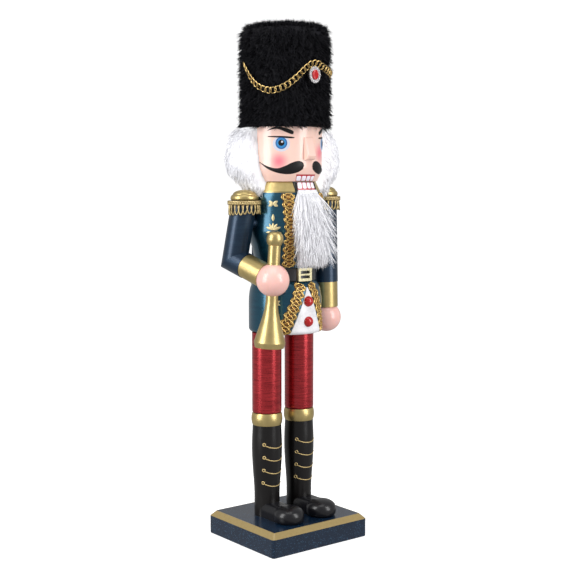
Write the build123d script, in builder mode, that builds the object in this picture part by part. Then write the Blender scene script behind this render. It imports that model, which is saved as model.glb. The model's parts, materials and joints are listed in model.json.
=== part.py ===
"""Nutcracker bugler: a turned and painted wooden figure on a square plinth.

Frame: millimetres, +Z up, origin at the centre of the plinth's underside.
The figure faces -Y.  Its right hand, which holds the horn, is on the -X side.
"""
import os
from math import cos, radians, sin

from build123d import *

os.makedirs("parts", exist_ok=True)

# ---- driving dimensions ---------------------------------------------------
TOTAL_HEIGHT = 380.0      # underside of the plinth to the top of the fur hat
BODY_Y = 3.0              # the turned body stands this far behind the plinth's centre

GLUE_FIT = 0.03           # radial clearance of a glued dowel or tenon
PIN_FIT = 0.05            # radial running clearance of the jaw on its pin
SLIDE_GAP = 0.4           # clearance each side of the jaw in its slot
MOUTH_GAP = 0.4           # gap between the shut jaw and the head

# plinth
BASE_W = 88.5
BASE_D = 80.5
BASE_H = 17.3
BEVEL = 3.8
BASE_CORNER_R = 2.5
BASE_EDGE = 0.8

# legs
LEG_X = 15.25
LEG_Y = 5.5               # the legs stand a little behind the body's axis
BOOT_TOP = 86.0
BOOT_R_FOOT = 9.5
BOOT_R_CALF = 11.3
BOOT_R_TOP = 10.9
KNEE_H = 9.0
KNEE_R = 11.6
KNEE_R_EDGE = 10.8
THIGH_R = 11.0
LEG_DOWEL_R = 3.0
LEG_DOWEL_BITE = 10.0
THIGH_TENON_R = 7.0
THIGH_TENON_H = 12.0
SHOE_R = 11.2
SHOE_H = 12.2
SHOE_TOE_Y = -32.5
INSTEP_HALF_W = 8.6
INSTEP_H = 10.6

# leg screws
SCREW_R = 2.0
SCREW_HEAD_R = 4.2
SCREW_HEAD_H = 2.4
SCREW_SINK = 1.0
SCREW_BITE = 18.0
SCREW_HEAD_FIT = 0.3

# skirt, belt and chest
HEM_Z = 155.0
HEM_R = 27.1
HEM_EDGE_R = 3.0
SKIRT_TURN_H = 20.0       # height over which the skirt draws in to the belt
SKIRT_TOP_R = 22.3
BELT_Z = 193.5
BELT_H = 10.1
BELT_R = 22.8
WAIST_R = 22.0
CHEST_R = 28.0
CHEST_FULL_Z = 232.0
CHEST_TOP_Z = 258.0
CHEST_TOP_R = 26.6
WAIST_DOWEL_R = 6.0
WAIST_DOWEL_BITE = 12.0

# collar and head
COLLAR_H = 8.0
COLLAR_R_LOW = 25.8
COLLAR_R_TOP = 22.4
HEAD_R = 27.3
HEAD_R_CHIN = 23.6
HEAD_TOP_Z = 306.0
NECK_DOWEL_R = 2.0
NECK_DOWEL_X = 15.0
NECK_DOWEL_Y = 14.0
NECK_DOWEL_BITE = 9.0
NOSE_LOW_Z = 281.0
NOSE_TOP_Z = 297.5
NOSE_W = 7.6
NOSE_OUT = 4.6

# jaw lever
JAW_W = 18.0
SLOT_FLOOR_Z = 223.0
PIVOT_Y = 5.0
PIVOT_Z = 249.0
PIN_R = 1.75
PIN_L = 50.0
JAW_FOOT_Z = 235.0
JAW_THICK = 12.5
TAIL_W = 12.0
TAIL_THICK = 4.8
TAIL_GAP = 0.9
TAIL_END_Z = 172.0
TAIL_FLARE = 1.6
JAW_SHOULDER_Y = 12.0     # the lever is full width in front of this and TAIL_W wide behind it

# beard and hair
BEARD_TOP_Z = 260.0
BEARD_END_Z = 206.0
BEARD_W_TOP = 17.0
BEARD_W_LOW = 21.0
BEARD_OUT = 5.5
HAIR_OUT_X = 49.0
HAIR_LOW_Z = 259.0
HAIR_TOP_Z = 304.0
HAIR_BACK = 11.0

# hat
HAT_CORE_LIP = 0.2        # the hat's core stands out this far past the head
FUR_CROWN = 9.0           # fur over the top of the core
FUR_THICK = 5.4           # pile of the fur round the core
FUR_LOW_Z = 304.0
HEAD_DOWEL_R = 5.0
HEAD_DOWEL_BITE = 12.0
CHAIN_WIRE_R = 1.5
CHAIN_LOW_Z = 330.0
# the chain's swags: degrees round from the front towards -X, height above the lowest point
CHAIN_SWAGS = (
    (-112, 20), (-92, 14.5), (-70, 12), (-40, 14), (-19, 16.5), (-5, 19.3), (5, 18.6), (14, 14.5), (24, 8.8),
    (38, 2.8), (54, 0), (70, 2.4), (82, 7.8), (92, 14.5), (102, 21.5),
)
CHAIN_BED = 0.2           # depth the chain presses into the fur
BADGE_Z = 341.2
BADGE_HALF_W = 5.0
BADGE_HALF_H = 5.9
BADGE_THICK = 1.8
BADGE_GEM_HALF_W = 2.7
BADGE_GEM_HALF_H = 3.6

# arms
SLEEVE_R = 9.3
RIGHT_SHOULDER_Z = 252.4
LEFT_SHOULDER_Z = 254.8
LEFT_ARM_GAP = 0.5        # between the left arm and the chest
RIGHT_ARM_SET = 0.4       # depth the chest beds into the right arm
SHOULDER_DOWEL_R = 3.5
SHOULDER_DOWEL_Z = 236.0
SHOULDER_BITE = 8.0
CUFF_R = 9.0
CUFF_L = 18.0
LEFT_CUFF_L = 19.2
TENON_R = 4.5
TENON_L = 7.0
LEFT_CUFF_Z = 190.0
LEFT_HAND_X = 40.0
LEFT_HAND_R = 11.2
RIGHT_HAND_R = 11.8
HAND_FLAT = 8.2           # hand centre to the face that meets the cuff
ELBOW = (-40.0, 11.0, 209.3)
FORE_DIR = (0.203, -0.919, -0.336)
FORE_L = 38.4
EPAULETTE_R = 10.1
EPAULETTE_H = 7.6
FRINGE_R = 11.4
FRINGE_WALL = 1.9
FRINGE_H = 10.2

# horn
HORN_TOP = 34.3           # hand centre to the top of the mouthpiece
HORN_LOW = 48.0           # hand centre to the rim of the bell
HORN_KNOB_R = 6.0
HORN_KNOB_H = 9.6
HORN_NECK_R = 4.4
HORN_BELL_R = 11.3
HORN_LIP_H = 3.8
HORN_LEAN = (0.040, -0.034, 1.0)

# trims
BRAID_THICK = 1.0
BRAID_W = 8.9
CHEST_BRAID_X_TOP = 15.2
CHEST_BRAID_X_LOW = 11.4
PANEL_THICK = 0.7
PANEL_HALF_W = 14.2
TRIM_GAP = 0.2
GEM_R = 4.0
GEM_ZS = (179.3, 164.5)
BUCKLE_W = 12.4
BUCKLE_H = 9.6
BUCKLE_BAR = 2.0
BUCKLE_THICK = 2.0
BUCKLE_OUT = 1.2          # stands proud of the belt

# ---- derived heights ------------------------------------------------------
KNEE_TOP = BOOT_TOP + KNEE_H
BELT_TOP = BELT_Z + BELT_H
COLLAR_TOP = CHEST_TOP_Z + COLLAR_H
HAT_CORE_TOP_Z = TOTAL_HEIGHT - FUR_CROWN
HAT_CORE_R = HEAD_R + HAT_CORE_LIP
FUR_R = HAT_CORE_R + FUR_THICK
RIGHT_SHOULDER = (RIGHT_ARM_SET - CHEST_R - SLEEVE_R, RIGHT_SHOULDER_Z)
LEFT_SHOULDER = (CHEST_R + SLEEVE_R + LEFT_ARM_GAP, LEFT_SHOULDER_Z)
SLOT_W = JAW_W + 2 * SLIDE_GAP
TAIL_SLOT_W = TAIL_W + 2 * SLIDE_GAP
SLOT_SHOULDER_Y = JAW_SHOULDER_Y + 4.0
BODY = Plane(origin=(0, BODY_Y, 0), x_dir=(1, 0, 0), z_dir=(0, -1, 0))
SIDE = Plane(origin=(0, 0, 0), x_dir=(0, 1, 0), z_dir=(1, 0, 0))
BODY_AXIS = Axis((0, BODY_Y, 0), (0, 0, 1))
FRONT = Plane(origin=(0, 0, 0), x_dir=(1, 0, 0), z_dir=(0, -1, 0))


def flat(z, x=0.0, y=0.0):
    """A level plane at height z, centred on (x, y)."""
    return Plane(origin=(x, y, z), x_dir=(1, 0, 0), z_dir=(0, 0, 1))


# ---- plinth ---------------------------------------------------------------
SCREW_HEAD_Z = SCREW_SINK + SCREW_HEAD_H / 2
with BuildPart() as base_plinth:
    with BuildSketch(flat(0)):
        RectangleRounded(BASE_W, BASE_D, BASE_CORNER_R)
    extrude(amount=BASE_H - BEVEL)
    with BuildSketch(flat(BASE_H - BEVEL)):
        RectangleRounded(BASE_W, BASE_D, BASE_CORNER_R)
    with BuildSketch(flat(BASE_H)):
        RectangleRounded(BASE_W - 2 * BEVEL, BASE_D - 2 * BEVEL, BASE_CORNER_R / 2)
    loft()
    fillet(base_plinth.faces().sort_by(Axis.Z)[0].edges(), radius=BASE_EDGE)
    # screw holes come up from below, each with a cone seat for its head
    with BuildSketch(flat(0)):
        with Locations((-LEG_X, LEG_Y), (LEG_X, LEG_Y)):
            Circle(SCREW_HEAD_R + SCREW_HEAD_FIT)
    extrude(amount=SCREW_SINK, mode=Mode.SUBTRACT)
    with Locations((-LEG_X, LEG_Y, SCREW_HEAD_Z), (LEG_X, LEG_Y, SCREW_HEAD_Z)):
        Cone(SCREW_HEAD_R, SCREW_R, SCREW_HEAD_H, mode=Mode.SUBTRACT)
    with BuildSketch(flat(0)):
        with Locations((-LEG_X, LEG_Y), (LEG_X, LEG_Y)):
            Circle(SCREW_R + GLUE_FIT)
    extrude(amount=BASE_H, mode=Mode.SUBTRACT)

with BuildPart() as leg_screws:
    with Locations((-LEG_X, LEG_Y, SCREW_HEAD_Z), (LEG_X, LEG_Y, SCREW_HEAD_Z)):
        Cone(SCREW_HEAD_R, SCREW_R, SCREW_HEAD_H)
    with BuildSketch(flat(SCREW_SINK + SCREW_HEAD_H)):
        with Locations((-LEG_X, LEG_Y), (LEG_X, LEG_Y)):
            Circle(SCREW_R)
    extrude(amount=BASE_H - SCREW_SINK - SCREW_HEAD_H + SCREW_BITE)

# ---- legs -----------------------------------------------------------------
with BuildPart() as boot_left:
    with BuildSketch(Plane(origin=(LEG_X, LEG_Y, 0), x_dir=(1, 0, 0), z_dir=(0, -1, 0))):
        with BuildLine():
            Polyline((0, BOOT_TOP), (0, BASE_H), (BOOT_R_FOOT, BASE_H), (BOOT_R_FOOT, BASE_H + 15))
            Spline(
                (BOOT_R_FOOT, BASE_H + 15),
                (BOOT_R_FOOT + 0.7, BASE_H + 29),
                (BOOT_R_CALF, BOOT_TOP - 18),
                (BOOT_R_TOP, BOOT_TOP - 5),
                tangents=((0, 1), (-0.06, 1)),
            )
            Polyline((BOOT_R_TOP, BOOT_TOP - 5), (BOOT_R_TOP - 0.2, BOOT_TOP), (0, BOOT_TOP))
        make_face()
    revolve(axis=Axis((LEG_X, LEG_Y, 0), (0, 0, 1)))
    with Locations((LEG_X, LEG_Y, BOOT_TOP)):
        Cylinder(
            LEG_DOWEL_R + GLUE_FIT, LEG_DOWEL_BITE,
            align=(Align.CENTER, Align.CENTER, Align.MAX), mode=Mode.SUBTRACT,
        )
    with Locations((LEG_X, LEG_Y, BASE_H)):
        Cylinder(
            SCREW_R + GLUE_FIT, SCREW_BITE,
            align=(Align.CENTER, Align.CENTER, Align.MIN), mode=Mode.SUBTRACT,
        )

with BuildPart() as boot_right:
    add(boot_left.part.mirror(Plane.YZ))

SHOE_MID_Y = SHOE_TOE_Y + SHOE_R
with BuildPart() as shoe_left:
    # the toe is a flattened ball
    with BuildSketch(Plane(origin=(LEG_X, SHOE_MID_Y, BASE_H), x_dir=(1, 0, 0), z_dir=(0, -1, 0))):
        with BuildLine():
            Polyline((0, SHOE_H), (0, 0), (SHOE_R - 2.6, 0))
            Bezier((SHOE_R - 2.6, 0), (SHOE_R - 0.3, 0.6), (SHOE_R, 2.4), (SHOE_R, 5.0))
            Bezier((SHOE_R, 5.0), (SHOE_R, SHOE_H - 2.6), (SHOE_R * 0.6, SHOE_H), (0, SHOE_H))
        make_face()
    revolve(axis=Axis((LEG_X, SHOE_MID_Y, 0), (0, 0, 1)))
    # the instep is a narrower bridge running back to the boot
    with BuildSketch(Plane(origin=(LEG_X, SHOE_MID_Y, BASE_H), x_dir=(1, 0, 0), z_dir=(0, -1, 0))):
        with BuildLine():
            Polyline((-INSTEP_HALF_W, 4.5), (-INSTEP_HALF_W, 0), (INSTEP_HALF_W, 0), (INSTEP_HALF_W, 4.5))
            Spline(
                (-INSTEP_HALF_W, 4.5), (0, INSTEP_H), (INSTEP_HALF_W, 4.5), tangents=((0, 1), (0, -1)),
            )
        make_face()
    extrude(amount=-(LEG_Y - SHOE_MID_Y - 3.0))
    add(boot_left.part, mode=Mode.SUBTRACT)

with BuildPart() as shoe_right:
    add(shoe_left.part.mirror(Plane.YZ))

with BuildPart() as knee_band_left:
    with BuildSketch(Plane(origin=(LEG_X, LEG_Y, 0), x_dir=(1, 0, 0), z_dir=(0, -1, 0))):
        with BuildLine():
            Polyline(
                (KNEE_R_EDGE, BOOT_TOP), (LEG_DOWEL_R + GLUE_FIT, BOOT_TOP),
                (LEG_DOWEL_R + GLUE_FIT, KNEE_TOP), (KNEE_R_EDGE, KNEE_TOP),
            )
            ThreePointArc(
                (KNEE_R_EDGE, KNEE_TOP), (KNEE_R, (BOOT_TOP + KNEE_TOP) / 2), (KNEE_R_EDGE, BOOT_TOP),
            )
        make_face()
    revolve(axis=Axis((LEG_X, LEG_Y, 0), (0, 0, 1)))

with BuildPart() as knee_band_right:
    add(knee_band_left.part.mirror(Plane.YZ))

with BuildPart() as thigh_left:
    with Locations((LEG_X, LEG_Y, KNEE_TOP)):
        Cylinder(THIGH_R, HEM_Z - KNEE_TOP, align=(Align.CENTER, Align.CENTER, Align.MIN))
    fillet(thigh_left.edges().sort_by(Axis.Z)[0], radius=1.6)
    with Locations((LEG_X, LEG_Y, HEM_Z)):
        Cylinder(THIGH_TENON_R, THIGH_TENON_H, align=(Align.CENTER, Align.CENTER, Align.MIN))
    with Locations((LEG_X, LEG_Y, KNEE_TOP)):
        Cylinder(
            LEG_DOWEL_R + GLUE_FIT, LEG_DOWEL_BITE,
            align=(Align.CENTER, Align.CENTER, Align.MIN), mode=Mode.SUBTRACT,
        )

with BuildPart() as thigh_right:
    add(thigh_left.part.mirror(Plane.YZ))

with BuildPart() as leg_dowels:
    with Locations((-LEG_X, LEG_Y, BOOT_TOP - LEG_DOWEL_BITE), (LEG_X, LEG_Y, BOOT_TOP - LEG_DOWEL_BITE)):
        Cylinder(LEG_DOWEL_R, KNEE_H + 2 * LEG_DOWEL_BITE, align=(Align.CENTER, Align.CENTER, Align.MIN))

# ---- skirt, belt and chest ------------------------------------------------
def skirt_outline(out=0.0):
    """Half section of the coat's skirt, or of a trim that lies this thick on it."""
    hem = HEM_R - HEM_EDGE_R
    Polyline((0, BELT_Z), (0, HEM_Z), (hem, HEM_Z))
    if out:
        Line((hem, HEM_Z), (hem + out, HEM_Z))
    RadiusArc((hem + out, HEM_Z), (HEM_R + out, HEM_Z + HEM_EDGE_R), -HEM_EDGE_R)
    Line((HEM_R + out, HEM_Z + HEM_EDGE_R), (HEM_R + out, BELT_Z - SKIRT_TURN_H))
    Spline(
        (HEM_R + out, BELT_Z - SKIRT_TURN_H), (SKIRT_TOP_R + out, BELT_Z),
        tangents=((0, 1), (-0.78, 0.63)),
    )
    Line((SKIRT_TOP_R + out, BELT_Z), (0, BELT_Z))


def chest_outline(out=0.0):
    """Half section of the chest, or of a trim that lies this thick on it."""
    Polyline((0, CHEST_TOP_Z), (0, BELT_TOP), (WAIST_R + out, BELT_TOP))
    Spline(
        (WAIST_R + out, BELT_TOP), (CHEST_R - 2.4 + out, CHEST_FULL_Z - 11), (CHEST_R + out, CHEST_FULL_Z),
        tangents=((0.12, 1), (0, 1)),
    )
    Line((CHEST_R + out, CHEST_FULL_Z), (CHEST_R + out, CHEST_TOP_Z - 9))
    Spline(
        (CHEST_R + out, CHEST_TOP_Z - 9), (CHEST_TOP_R + out, CHEST_TOP_Z), tangents=((0, 1), (-0.4, 1)),
    )
    Line((CHEST_TOP_R + out, CHEST_TOP_Z), (0, CHEST_TOP_Z))


with BuildPart() as skirt:
    with BuildSketch(BODY):
        with BuildLine():
            skirt_outline()
        make_face()
    revolve(axis=BODY_AXIS)
    with Locations((-LEG_X, LEG_Y, HEM_Z), (LEG_X, LEG_Y, HEM_Z)):
        Cylinder(
            THIGH_TENON_R + GLUE_FIT, THIGH_TENON_H,
            align=(Align.CENTER, Align.CENTER, Align.MIN), mode=Mode.SUBTRACT,
        )
    with Locations((0, BODY_Y, BELT_Z)):
        Cylinder(
            WAIST_DOWEL_R + GLUE_FIT, WAIST_DOWEL_BITE,
            align=(Align.CENTER, Align.CENTER, Align.MAX), mode=Mode.SUBTRACT,
        )

with BuildPart() as belt:
    with Locations((0, BODY_Y, BELT_Z)):
        Cylinder(BELT_R, BELT_H, align=(Align.CENTER, Align.CENTER, Align.MIN))
    fillet(belt.edges(), radius=0.8)
    with Locations((0, BODY_Y, BELT_Z)):
        Cylinder(
            WAIST_DOWEL_R + GLUE_FIT, BELT_H,
            align=(Align.CENTER, Align.CENTER, Align.MIN), mode=Mode.SUBTRACT,
        )

with BuildPart() as waist_dowel:
    with Locations((0, BODY_Y, BELT_Z - WAIST_DOWEL_BITE)):
        Cylinder(WAIST_DOWEL_R, BELT_H + 2 * WAIST_DOWEL_BITE, align=(Align.CENTER, Align.CENTER, Align.MIN))

BUCKLE_PLANE = Plane(
    origin=(0, BODY_Y - BELT_R - BUCKLE_OUT, (BELT_Z + BELT_TOP) / 2), x_dir=(1, 0, 0), z_dir=(0, 1, 0),
)
with BuildPart() as belt_buckle:
    with BuildSketch(BUCKLE_PLANE):
        RectangleRounded(BUCKLE_W, BUCKLE_H, 1.0)
        Rectangle(BUCKLE_W - 2 * BUCKLE_BAR, BUCKLE_H - 2 * BUCKLE_BAR, mode=Mode.SUBTRACT)
        with Locations((BUCKLE_BAR / 2, 0)):
            Rectangle(BUCKLE_W - BUCKLE_BAR, 1.2)
    extrude(amount=BUCKLE_THICK + BUCKLE_OUT)
    add(belt.part, mode=Mode.SUBTRACT)

with BuildPart() as chest:
    with BuildSketch(BODY):
        with BuildLine():
            chest_outline()
        make_face()
    revolve(axis=BODY_AXIS)
    # through slot for the jaw lever, open at the front, the back and the top
    with Locations((0, SLOT_SHOULDER_Y, SLOT_FLOOR_Z)):
        Box(
            SLOT_W, 2 * CHEST_R, CHEST_TOP_Z - SLOT_FLOOR_Z,
            align=(Align.CENTER, Align.MAX, Align.MIN), mode=Mode.SUBTRACT,
        )
        Box(
            TAIL_SLOT_W, 2 * CHEST_R, CHEST_TOP_Z - SLOT_FLOOR_Z,
            align=(Align.CENTER, Align.MIN, Align.MIN), mode=Mode.SUBTRACT,
        )
    with Locations((0, BODY_Y, BELT_TOP)):
        Cylinder(
            WAIST_DOWEL_R + GLUE_FIT, WAIST_DOWEL_BITE,
            align=(Align.CENTER, Align.CENTER, Align.MIN), mode=Mode.SUBTRACT,
        )
    with Locations((0, PIVOT_Y, PIVOT_Z)):
        Cylinder(PIN_R + GLUE_FIT, PIN_L, rotation=(0, 90, 0), mode=Mode.SUBTRACT)
    with Locations((-NECK_DOWEL_X, NECK_DOWEL_Y, CHEST_TOP_Z), (NECK_DOWEL_X, NECK_DOWEL_Y, CHEST_TOP_Z)):
        Cylinder(
            NECK_DOWEL_R + GLUE_FIT, NECK_DOWEL_BITE,
            align=(Align.CENTER, Align.CENTER, Align.MAX), mode=Mode.SUBTRACT,
        )
    with Locations((-CHEST_R, BODY_Y, SHOULDER_DOWEL_Z), (CHEST_R, BODY_Y, SHOULDER_DOWEL_Z)):
        Cylinder(
            SHOULDER_DOWEL_R + GLUE_FIT, 2 * SHOULDER_BITE, rotation=(0, 90, 0), mode=Mode.SUBTRACT,
        )

with BuildPart() as jaw_pivot_pin:
    with Locations((0, PIVOT_Y, PIVOT_Z)):
        Cylinder(PIN_R, PIN_L, rotation=(0, 90, 0))

# ---- collar and head ------------------------------------------------------
with BuildPart() as collar:
    with BuildSketch(BODY):
        Polygon(
            (0, CHEST_TOP_Z), (COLLAR_R_LOW, CHEST_TOP_Z), (COLLAR_R_LOW, CHEST_TOP_Z + 1.0),
            (COLLAR_R_TOP, COLLAR_TOP), (0, COLLAR_TOP), align=None,
        )
    revolve(axis=BODY_AXIS)
    # the mouth slot runs from the front to just behind the jaw's pivot
    with Locations((0, PIVOT_Y + 6, CHEST_TOP_Z)):
        Box(
            SLOT_W, 2 * CHEST_R, COLLAR_H,
            align=(Align.CENTER, Align.MAX, Align.MIN), mode=Mode.SUBTRACT,
        )
    with Locations((-NECK_DOWEL_X, NECK_DOWEL_Y, CHEST_TOP_Z), (NECK_DOWEL_X, NECK_DOWEL_Y, CHEST_TOP_Z)):
        Cylinder(
            NECK_DOWEL_R + GLUE_FIT, COLLAR_H,
            align=(Align.CENTER, Align.CENTER, Align.MIN), mode=Mode.SUBTRACT,
        )

with BuildPart() as neck_dowels:
    with Locations(
        (-NECK_DOWEL_X, NECK_DOWEL_Y, CHEST_TOP_Z - NECK_DOWEL_BITE),
        (NECK_DOWEL_X, NECK_DOWEL_Y, CHEST_TOP_Z - NECK_DOWEL_BITE),
    ):
        Cylinder(
            NECK_DOWEL_R, COLLAR_H + 2 * NECK_DOWEL_BITE, align=(Align.CENTER, Align.CENTER, Align.MIN),
        )

with BuildPart() as head:
    with BuildSketch(BODY):
        with BuildLine():
            Polyline((0, HEAD_TOP_Z), (0, COLLAR_TOP), (HEAD_R_CHIN, COLLAR_TOP))
            Spline(
                (HEAD_R_CHIN, COLLAR_TOP), (HEAD_R - 1.1, COLLAR_TOP + 6), (HEAD_R, COLLAR_TOP + 14),
                tangents=((0.45, 1), (0, 1)),
            )
            Polyline((HEAD_R, COLLAR_TOP + 14), (HEAD_R, HEAD_TOP_Z), (0, HEAD_TOP_Z))
        make_face()
    revolve(axis=BODY_AXIS)
    with Locations((0, BODY_Y, HEAD_TOP_Z)):
        Cylinder(
            HEAD_DOWEL_R + GLUE_FIT, HEAD_DOWEL_BITE,
            align=(Align.CENTER, Align.CENTER, Align.MAX), mode=Mode.SUBTRACT,
        )
    with Locations((-NECK_DOWEL_X, NECK_DOWEL_Y, COLLAR_TOP), (NECK_DOWEL_X, NECK_DOWEL_Y, COLLAR_TOP)):
        Cylinder(
            NECK_DOWEL_R + GLUE_FIT, NECK_DOWEL_BITE,
            align=(Align.CENTER, Align.CENTER, Align.MIN), mode=Mode.SUBTRACT,
        )

with BuildPart() as head_dowel:
    with Locations((0, BODY_Y, HEAD_TOP_Z - HEAD_DOWEL_BITE)):
        Cylinder(HEAD_DOWEL_R, 2 * HEAD_DOWEL_BITE, align=(Align.CENTER, Align.CENTER, Align.MIN))

with BuildPart() as nose:
    face_y = BODY_Y - HEAD_R
    with BuildSketch(SIDE):
        Polygon(
            (face_y + 3, NOSE_TOP_Z), (face_y - 1.0, NOSE_TOP_Z), (face_y - NOSE_OUT, NOSE_LOW_Z + 3.2),
            (face_y - NOSE_OUT + 1.0, NOSE_LOW_Z + 0.8), (face_y + 3, NOSE_LOW_Z), align=None,
        )
    extrude(amount=NOSE_W / 2, both=True)
    fillet(nose.edges().filter_by(lambda e: e.center().Y < face_y - 0.8), radius=0.9)
    add(head.part, mode=Mode.SUBTRACT)

# ---- jaw ------------------------------------------------------------------
JAW_TOP_Z = COLLAR_TOP - MOUTH_GAP
TAIL_Y = BODY_Y + CHEST_R + TAIL_GAP
with BuildPart() as jaw_front:
    with BuildSketch(BODY):
        Polygon(
            (0, TAIL_END_Z - 1), (CHEST_R - 0.4, TAIL_END_Z - 1), (CHEST_R - 0.4, CHEST_TOP_Z - 9),
            (CHEST_R - 1.0, CHEST_TOP_Z), (HEAD_R_CHIN + 0.9, JAW_TOP_Z), (0, JAW_TOP_Z), align=None,
        )
    revolve(axis=BODY_AXIS)
    with Locations((0, BODY_Y, TAIL_END_Z - 1)):
        Box(
            JAW_W, 4 * CHEST_R, JAW_TOP_Z - TAIL_END_Z + 1,
            align=(Align.CENTER, Align.MIN, Align.MIN),
        )

with BuildPart() as jaw_lever:
    with BuildSketch(SIDE):
        Polygon(
            (BODY_Y - CHEST_R, JAW_TOP_Z),
            (BODY_Y - CHEST_R + JAW_THICK, JAW_TOP_Z),
            (PIVOT_Y - 4, CHEST_TOP_Z - 0.8),
            (PIVOT_Y + 5, CHEST_TOP_Z - 3.0),
            (TAIL_Y + 0.5, PIVOT_Z + 0.5),
            (TAIL_Y + TAIL_THICK - 1.5, PIVOT_Z - 3.5),
            (TAIL_Y + TAIL_THICK, PIVOT_Z - 9),
            (TAIL_Y + TAIL_THICK, TAIL_END_Z + 26),
            (TAIL_Y + TAIL_THICK + TAIL_FLARE, TAIL_END_Z),
            (TAIL_Y + TAIL_FLARE + 1.0, TAIL_END_Z),
            (TAIL_Y, TAIL_END_Z + 26),
            (TAIL_Y, PIVOT_Z - 15),
            (PIVOT_Y + 8, PIVOT_Z - 8),
            (BODY_Y - CHEST_R + JAW_THICK + 2, PIVOT_Z - 10),
            (BODY_Y - CHEST_R + JAW_THICK - 2, JAW_FOOT_Z),
            (BODY_Y - CHEST_R, JAW_FOOT_Z),
            align=None,
        )
    extrude(amount=JAW_W / 2, both=True)
    # the front is turned to the body's own curve and leans in to meet the head
    add(jaw_front.part, mode=Mode.INTERSECT)
    with Locations((0, PIVOT_Y, PIVOT_Z)):
        Cylinder(PIN_R + PIN_FIT, 2 * JAW_W, rotation=(0, 90, 0), mode=Mode.SUBTRACT)
    # behind its shoulder the lever is only as wide as its tail
    for edge_x, side in ((-TAIL_W / 2, Align.MAX), (TAIL_W / 2, Align.MIN)):
        with Locations((edge_x, JAW_SHOULDER_Y, TAIL_END_Z)):
            Box(
                JAW_W, 4 * CHEST_R, JAW_TOP_Z - TAIL_END_Z,
                align=(side, Align.MIN, Align.MIN), mode=Mode.SUBTRACT,
            )


# ---- trims on the coat ----------------------------------------------------
BRAID_HALF = BRAID_W / 2
with BuildPart() as chest_braid_left:
    with BuildSketch(BODY):
        with BuildLine():
            chest_outline(BRAID_THICK)
        make_face()
    revolve(axis=BODY_AXIS)
    with BuildSketch(BODY):
        Polygon(
            (CHEST_BRAID_X_LOW - BRAID_HALF, BELT_TOP + TRIM_GAP),
            (CHEST_BRAID_X_LOW + BRAID_HALF, BELT_TOP + TRIM_GAP),
            (CHEST_BRAID_X_TOP + BRAID_HALF, CHEST_TOP_Z),
            (CHEST_BRAID_X_TOP - BRAID_HALF, CHEST_TOP_Z),
            align=None,
        )
    extrude(amount=2 * CHEST_R, mode=Mode.INTERSECT)
    with Locations((0, BODY_Y, SLOT_FLOOR_Z)):
        Box(
            SLOT_W, 4 * CHEST_R, CHEST_TOP_Z - SLOT_FLOOR_Z,
            align=(Align.CENTER, Align.CENTER, Align.MIN), mode=Mode.SUBTRACT,
        )
    add(chest.part, mode=Mode.SUBTRACT)

with BuildPart() as chest_braid_right:
    add(chest_braid_left.part.mirror(Plane.YZ))

with BuildPart() as skirt_braid_left:
    with BuildSketch(BODY):
        with BuildLine():
            skirt_outline(BRAID_THICK)
        make_face()
    revolve(axis=BODY_AXIS)
    with BuildSketch(BODY):
        Polygon(
            (TRIM_GAP, BELT_Z - 1.0), (BRAID_W, BELT_Z - 1.0),
            (PANEL_HALF_W + BRAID_W, HEM_Z), (PANEL_HALF_W, HEM_Z),
            align=None,
        )
    extrude(amount=2 * HEM_R, mode=Mode.INTERSECT)
    with BuildSketch(BODY):
        with BuildLine():
            skirt_outline()
        make_face()
    revolve(axis=BODY_AXIS, mode=Mode.SUBTRACT)

with BuildPart() as skirt_braid_right:
    add(skirt_braid_left.part.mirror(Plane.YZ))

with BuildPart() as front_panel:
    with BuildSketch(BODY):
        with BuildLine():
            skirt_outline(PANEL_THICK)
        make_face()
    revolve(axis=BODY_AXIS)
    with BuildSketch(BODY):
        Polygon(
            (-0.4, BELT_Z - 4), (0.4, BELT_Z - 4),
            (PANEL_HALF_W - TRIM_GAP, HEM_Z + TRIM_GAP), (TRIM_GAP - PANEL_HALF_W, HEM_Z + TRIM_GAP),
            align=None,
        )
    extrude(amount=2 * HEM_R, mode=Mode.INTERSECT)
    with BuildSketch(BODY):
        with BuildLine():
            skirt_outline()
        make_face()
    revolve(axis=BODY_AXIS, mode=Mode.SUBTRACT)

with BuildPart() as gem_buttons:
    with Locations(*[(0, BODY_Y - HEM_R - PANEL_THICK + 0.8, z) for z in GEM_ZS]):
        Sphere(GEM_R)
    with BuildSketch(BODY):
        with BuildLine():
            skirt_outline(PANEL_THICK)
        make_face()
    revolve(axis=BODY_AXIS, mode=Mode.SUBTRACT)

# ---- beard ----------------------------------------------------------------
BEARD_Y = BODY_Y - CHEST_R - 0.5
with BuildPart() as beard:
    with BuildSketch(FRONT.offset(-BEARD_Y)):
        with BuildLine():
            Polyline((-BEARD_W_TOP / 2, BEARD_TOP_Z - 2), (-BEARD_W_TOP / 2 + 2, BEARD_TOP_Z))
            Line((-BEARD_W_TOP / 2 + 2, BEARD_TOP_Z), (BEARD_W_TOP / 2 - 2, BEARD_TOP_Z))
            Line((BEARD_W_TOP / 2 - 2, BEARD_TOP_Z), (BEARD_W_TOP / 2, BEARD_TOP_Z - 2))
            Spline(
                (BEARD_W_TOP / 2, BEARD_TOP_Z - 2), (BEARD_W_LOW / 2, BEARD_END_Z + 22),
                (BEARD_W_LOW / 2 - 5, BEARD_END_Z + 4), (0, BEARD_END_Z),
                (5 - BEARD_W_LOW / 2, BEARD_END_Z + 4), (-BEARD_W_LOW / 2, BEARD_END_Z + 22),
                (-BEARD_W_TOP / 2, BEARD_TOP_Z - 2),
            )
        make_face()
    extrude(amount=BEARD_OUT)
    # the backing is glued to the curved front of the jaw
    with Locations((0, BEARD_Y, BEARD_TOP_Z)):
        Box(
            BEARD_W_TOP - 4, 4.5, BEARD_TOP_Z - JAW_FOOT_Z - 4,
            align=(Align.CENTER, Align.MIN, Align.MAX),
        )
    add(jaw_lever.part, mode=Mode.SUBTRACT)

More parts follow.
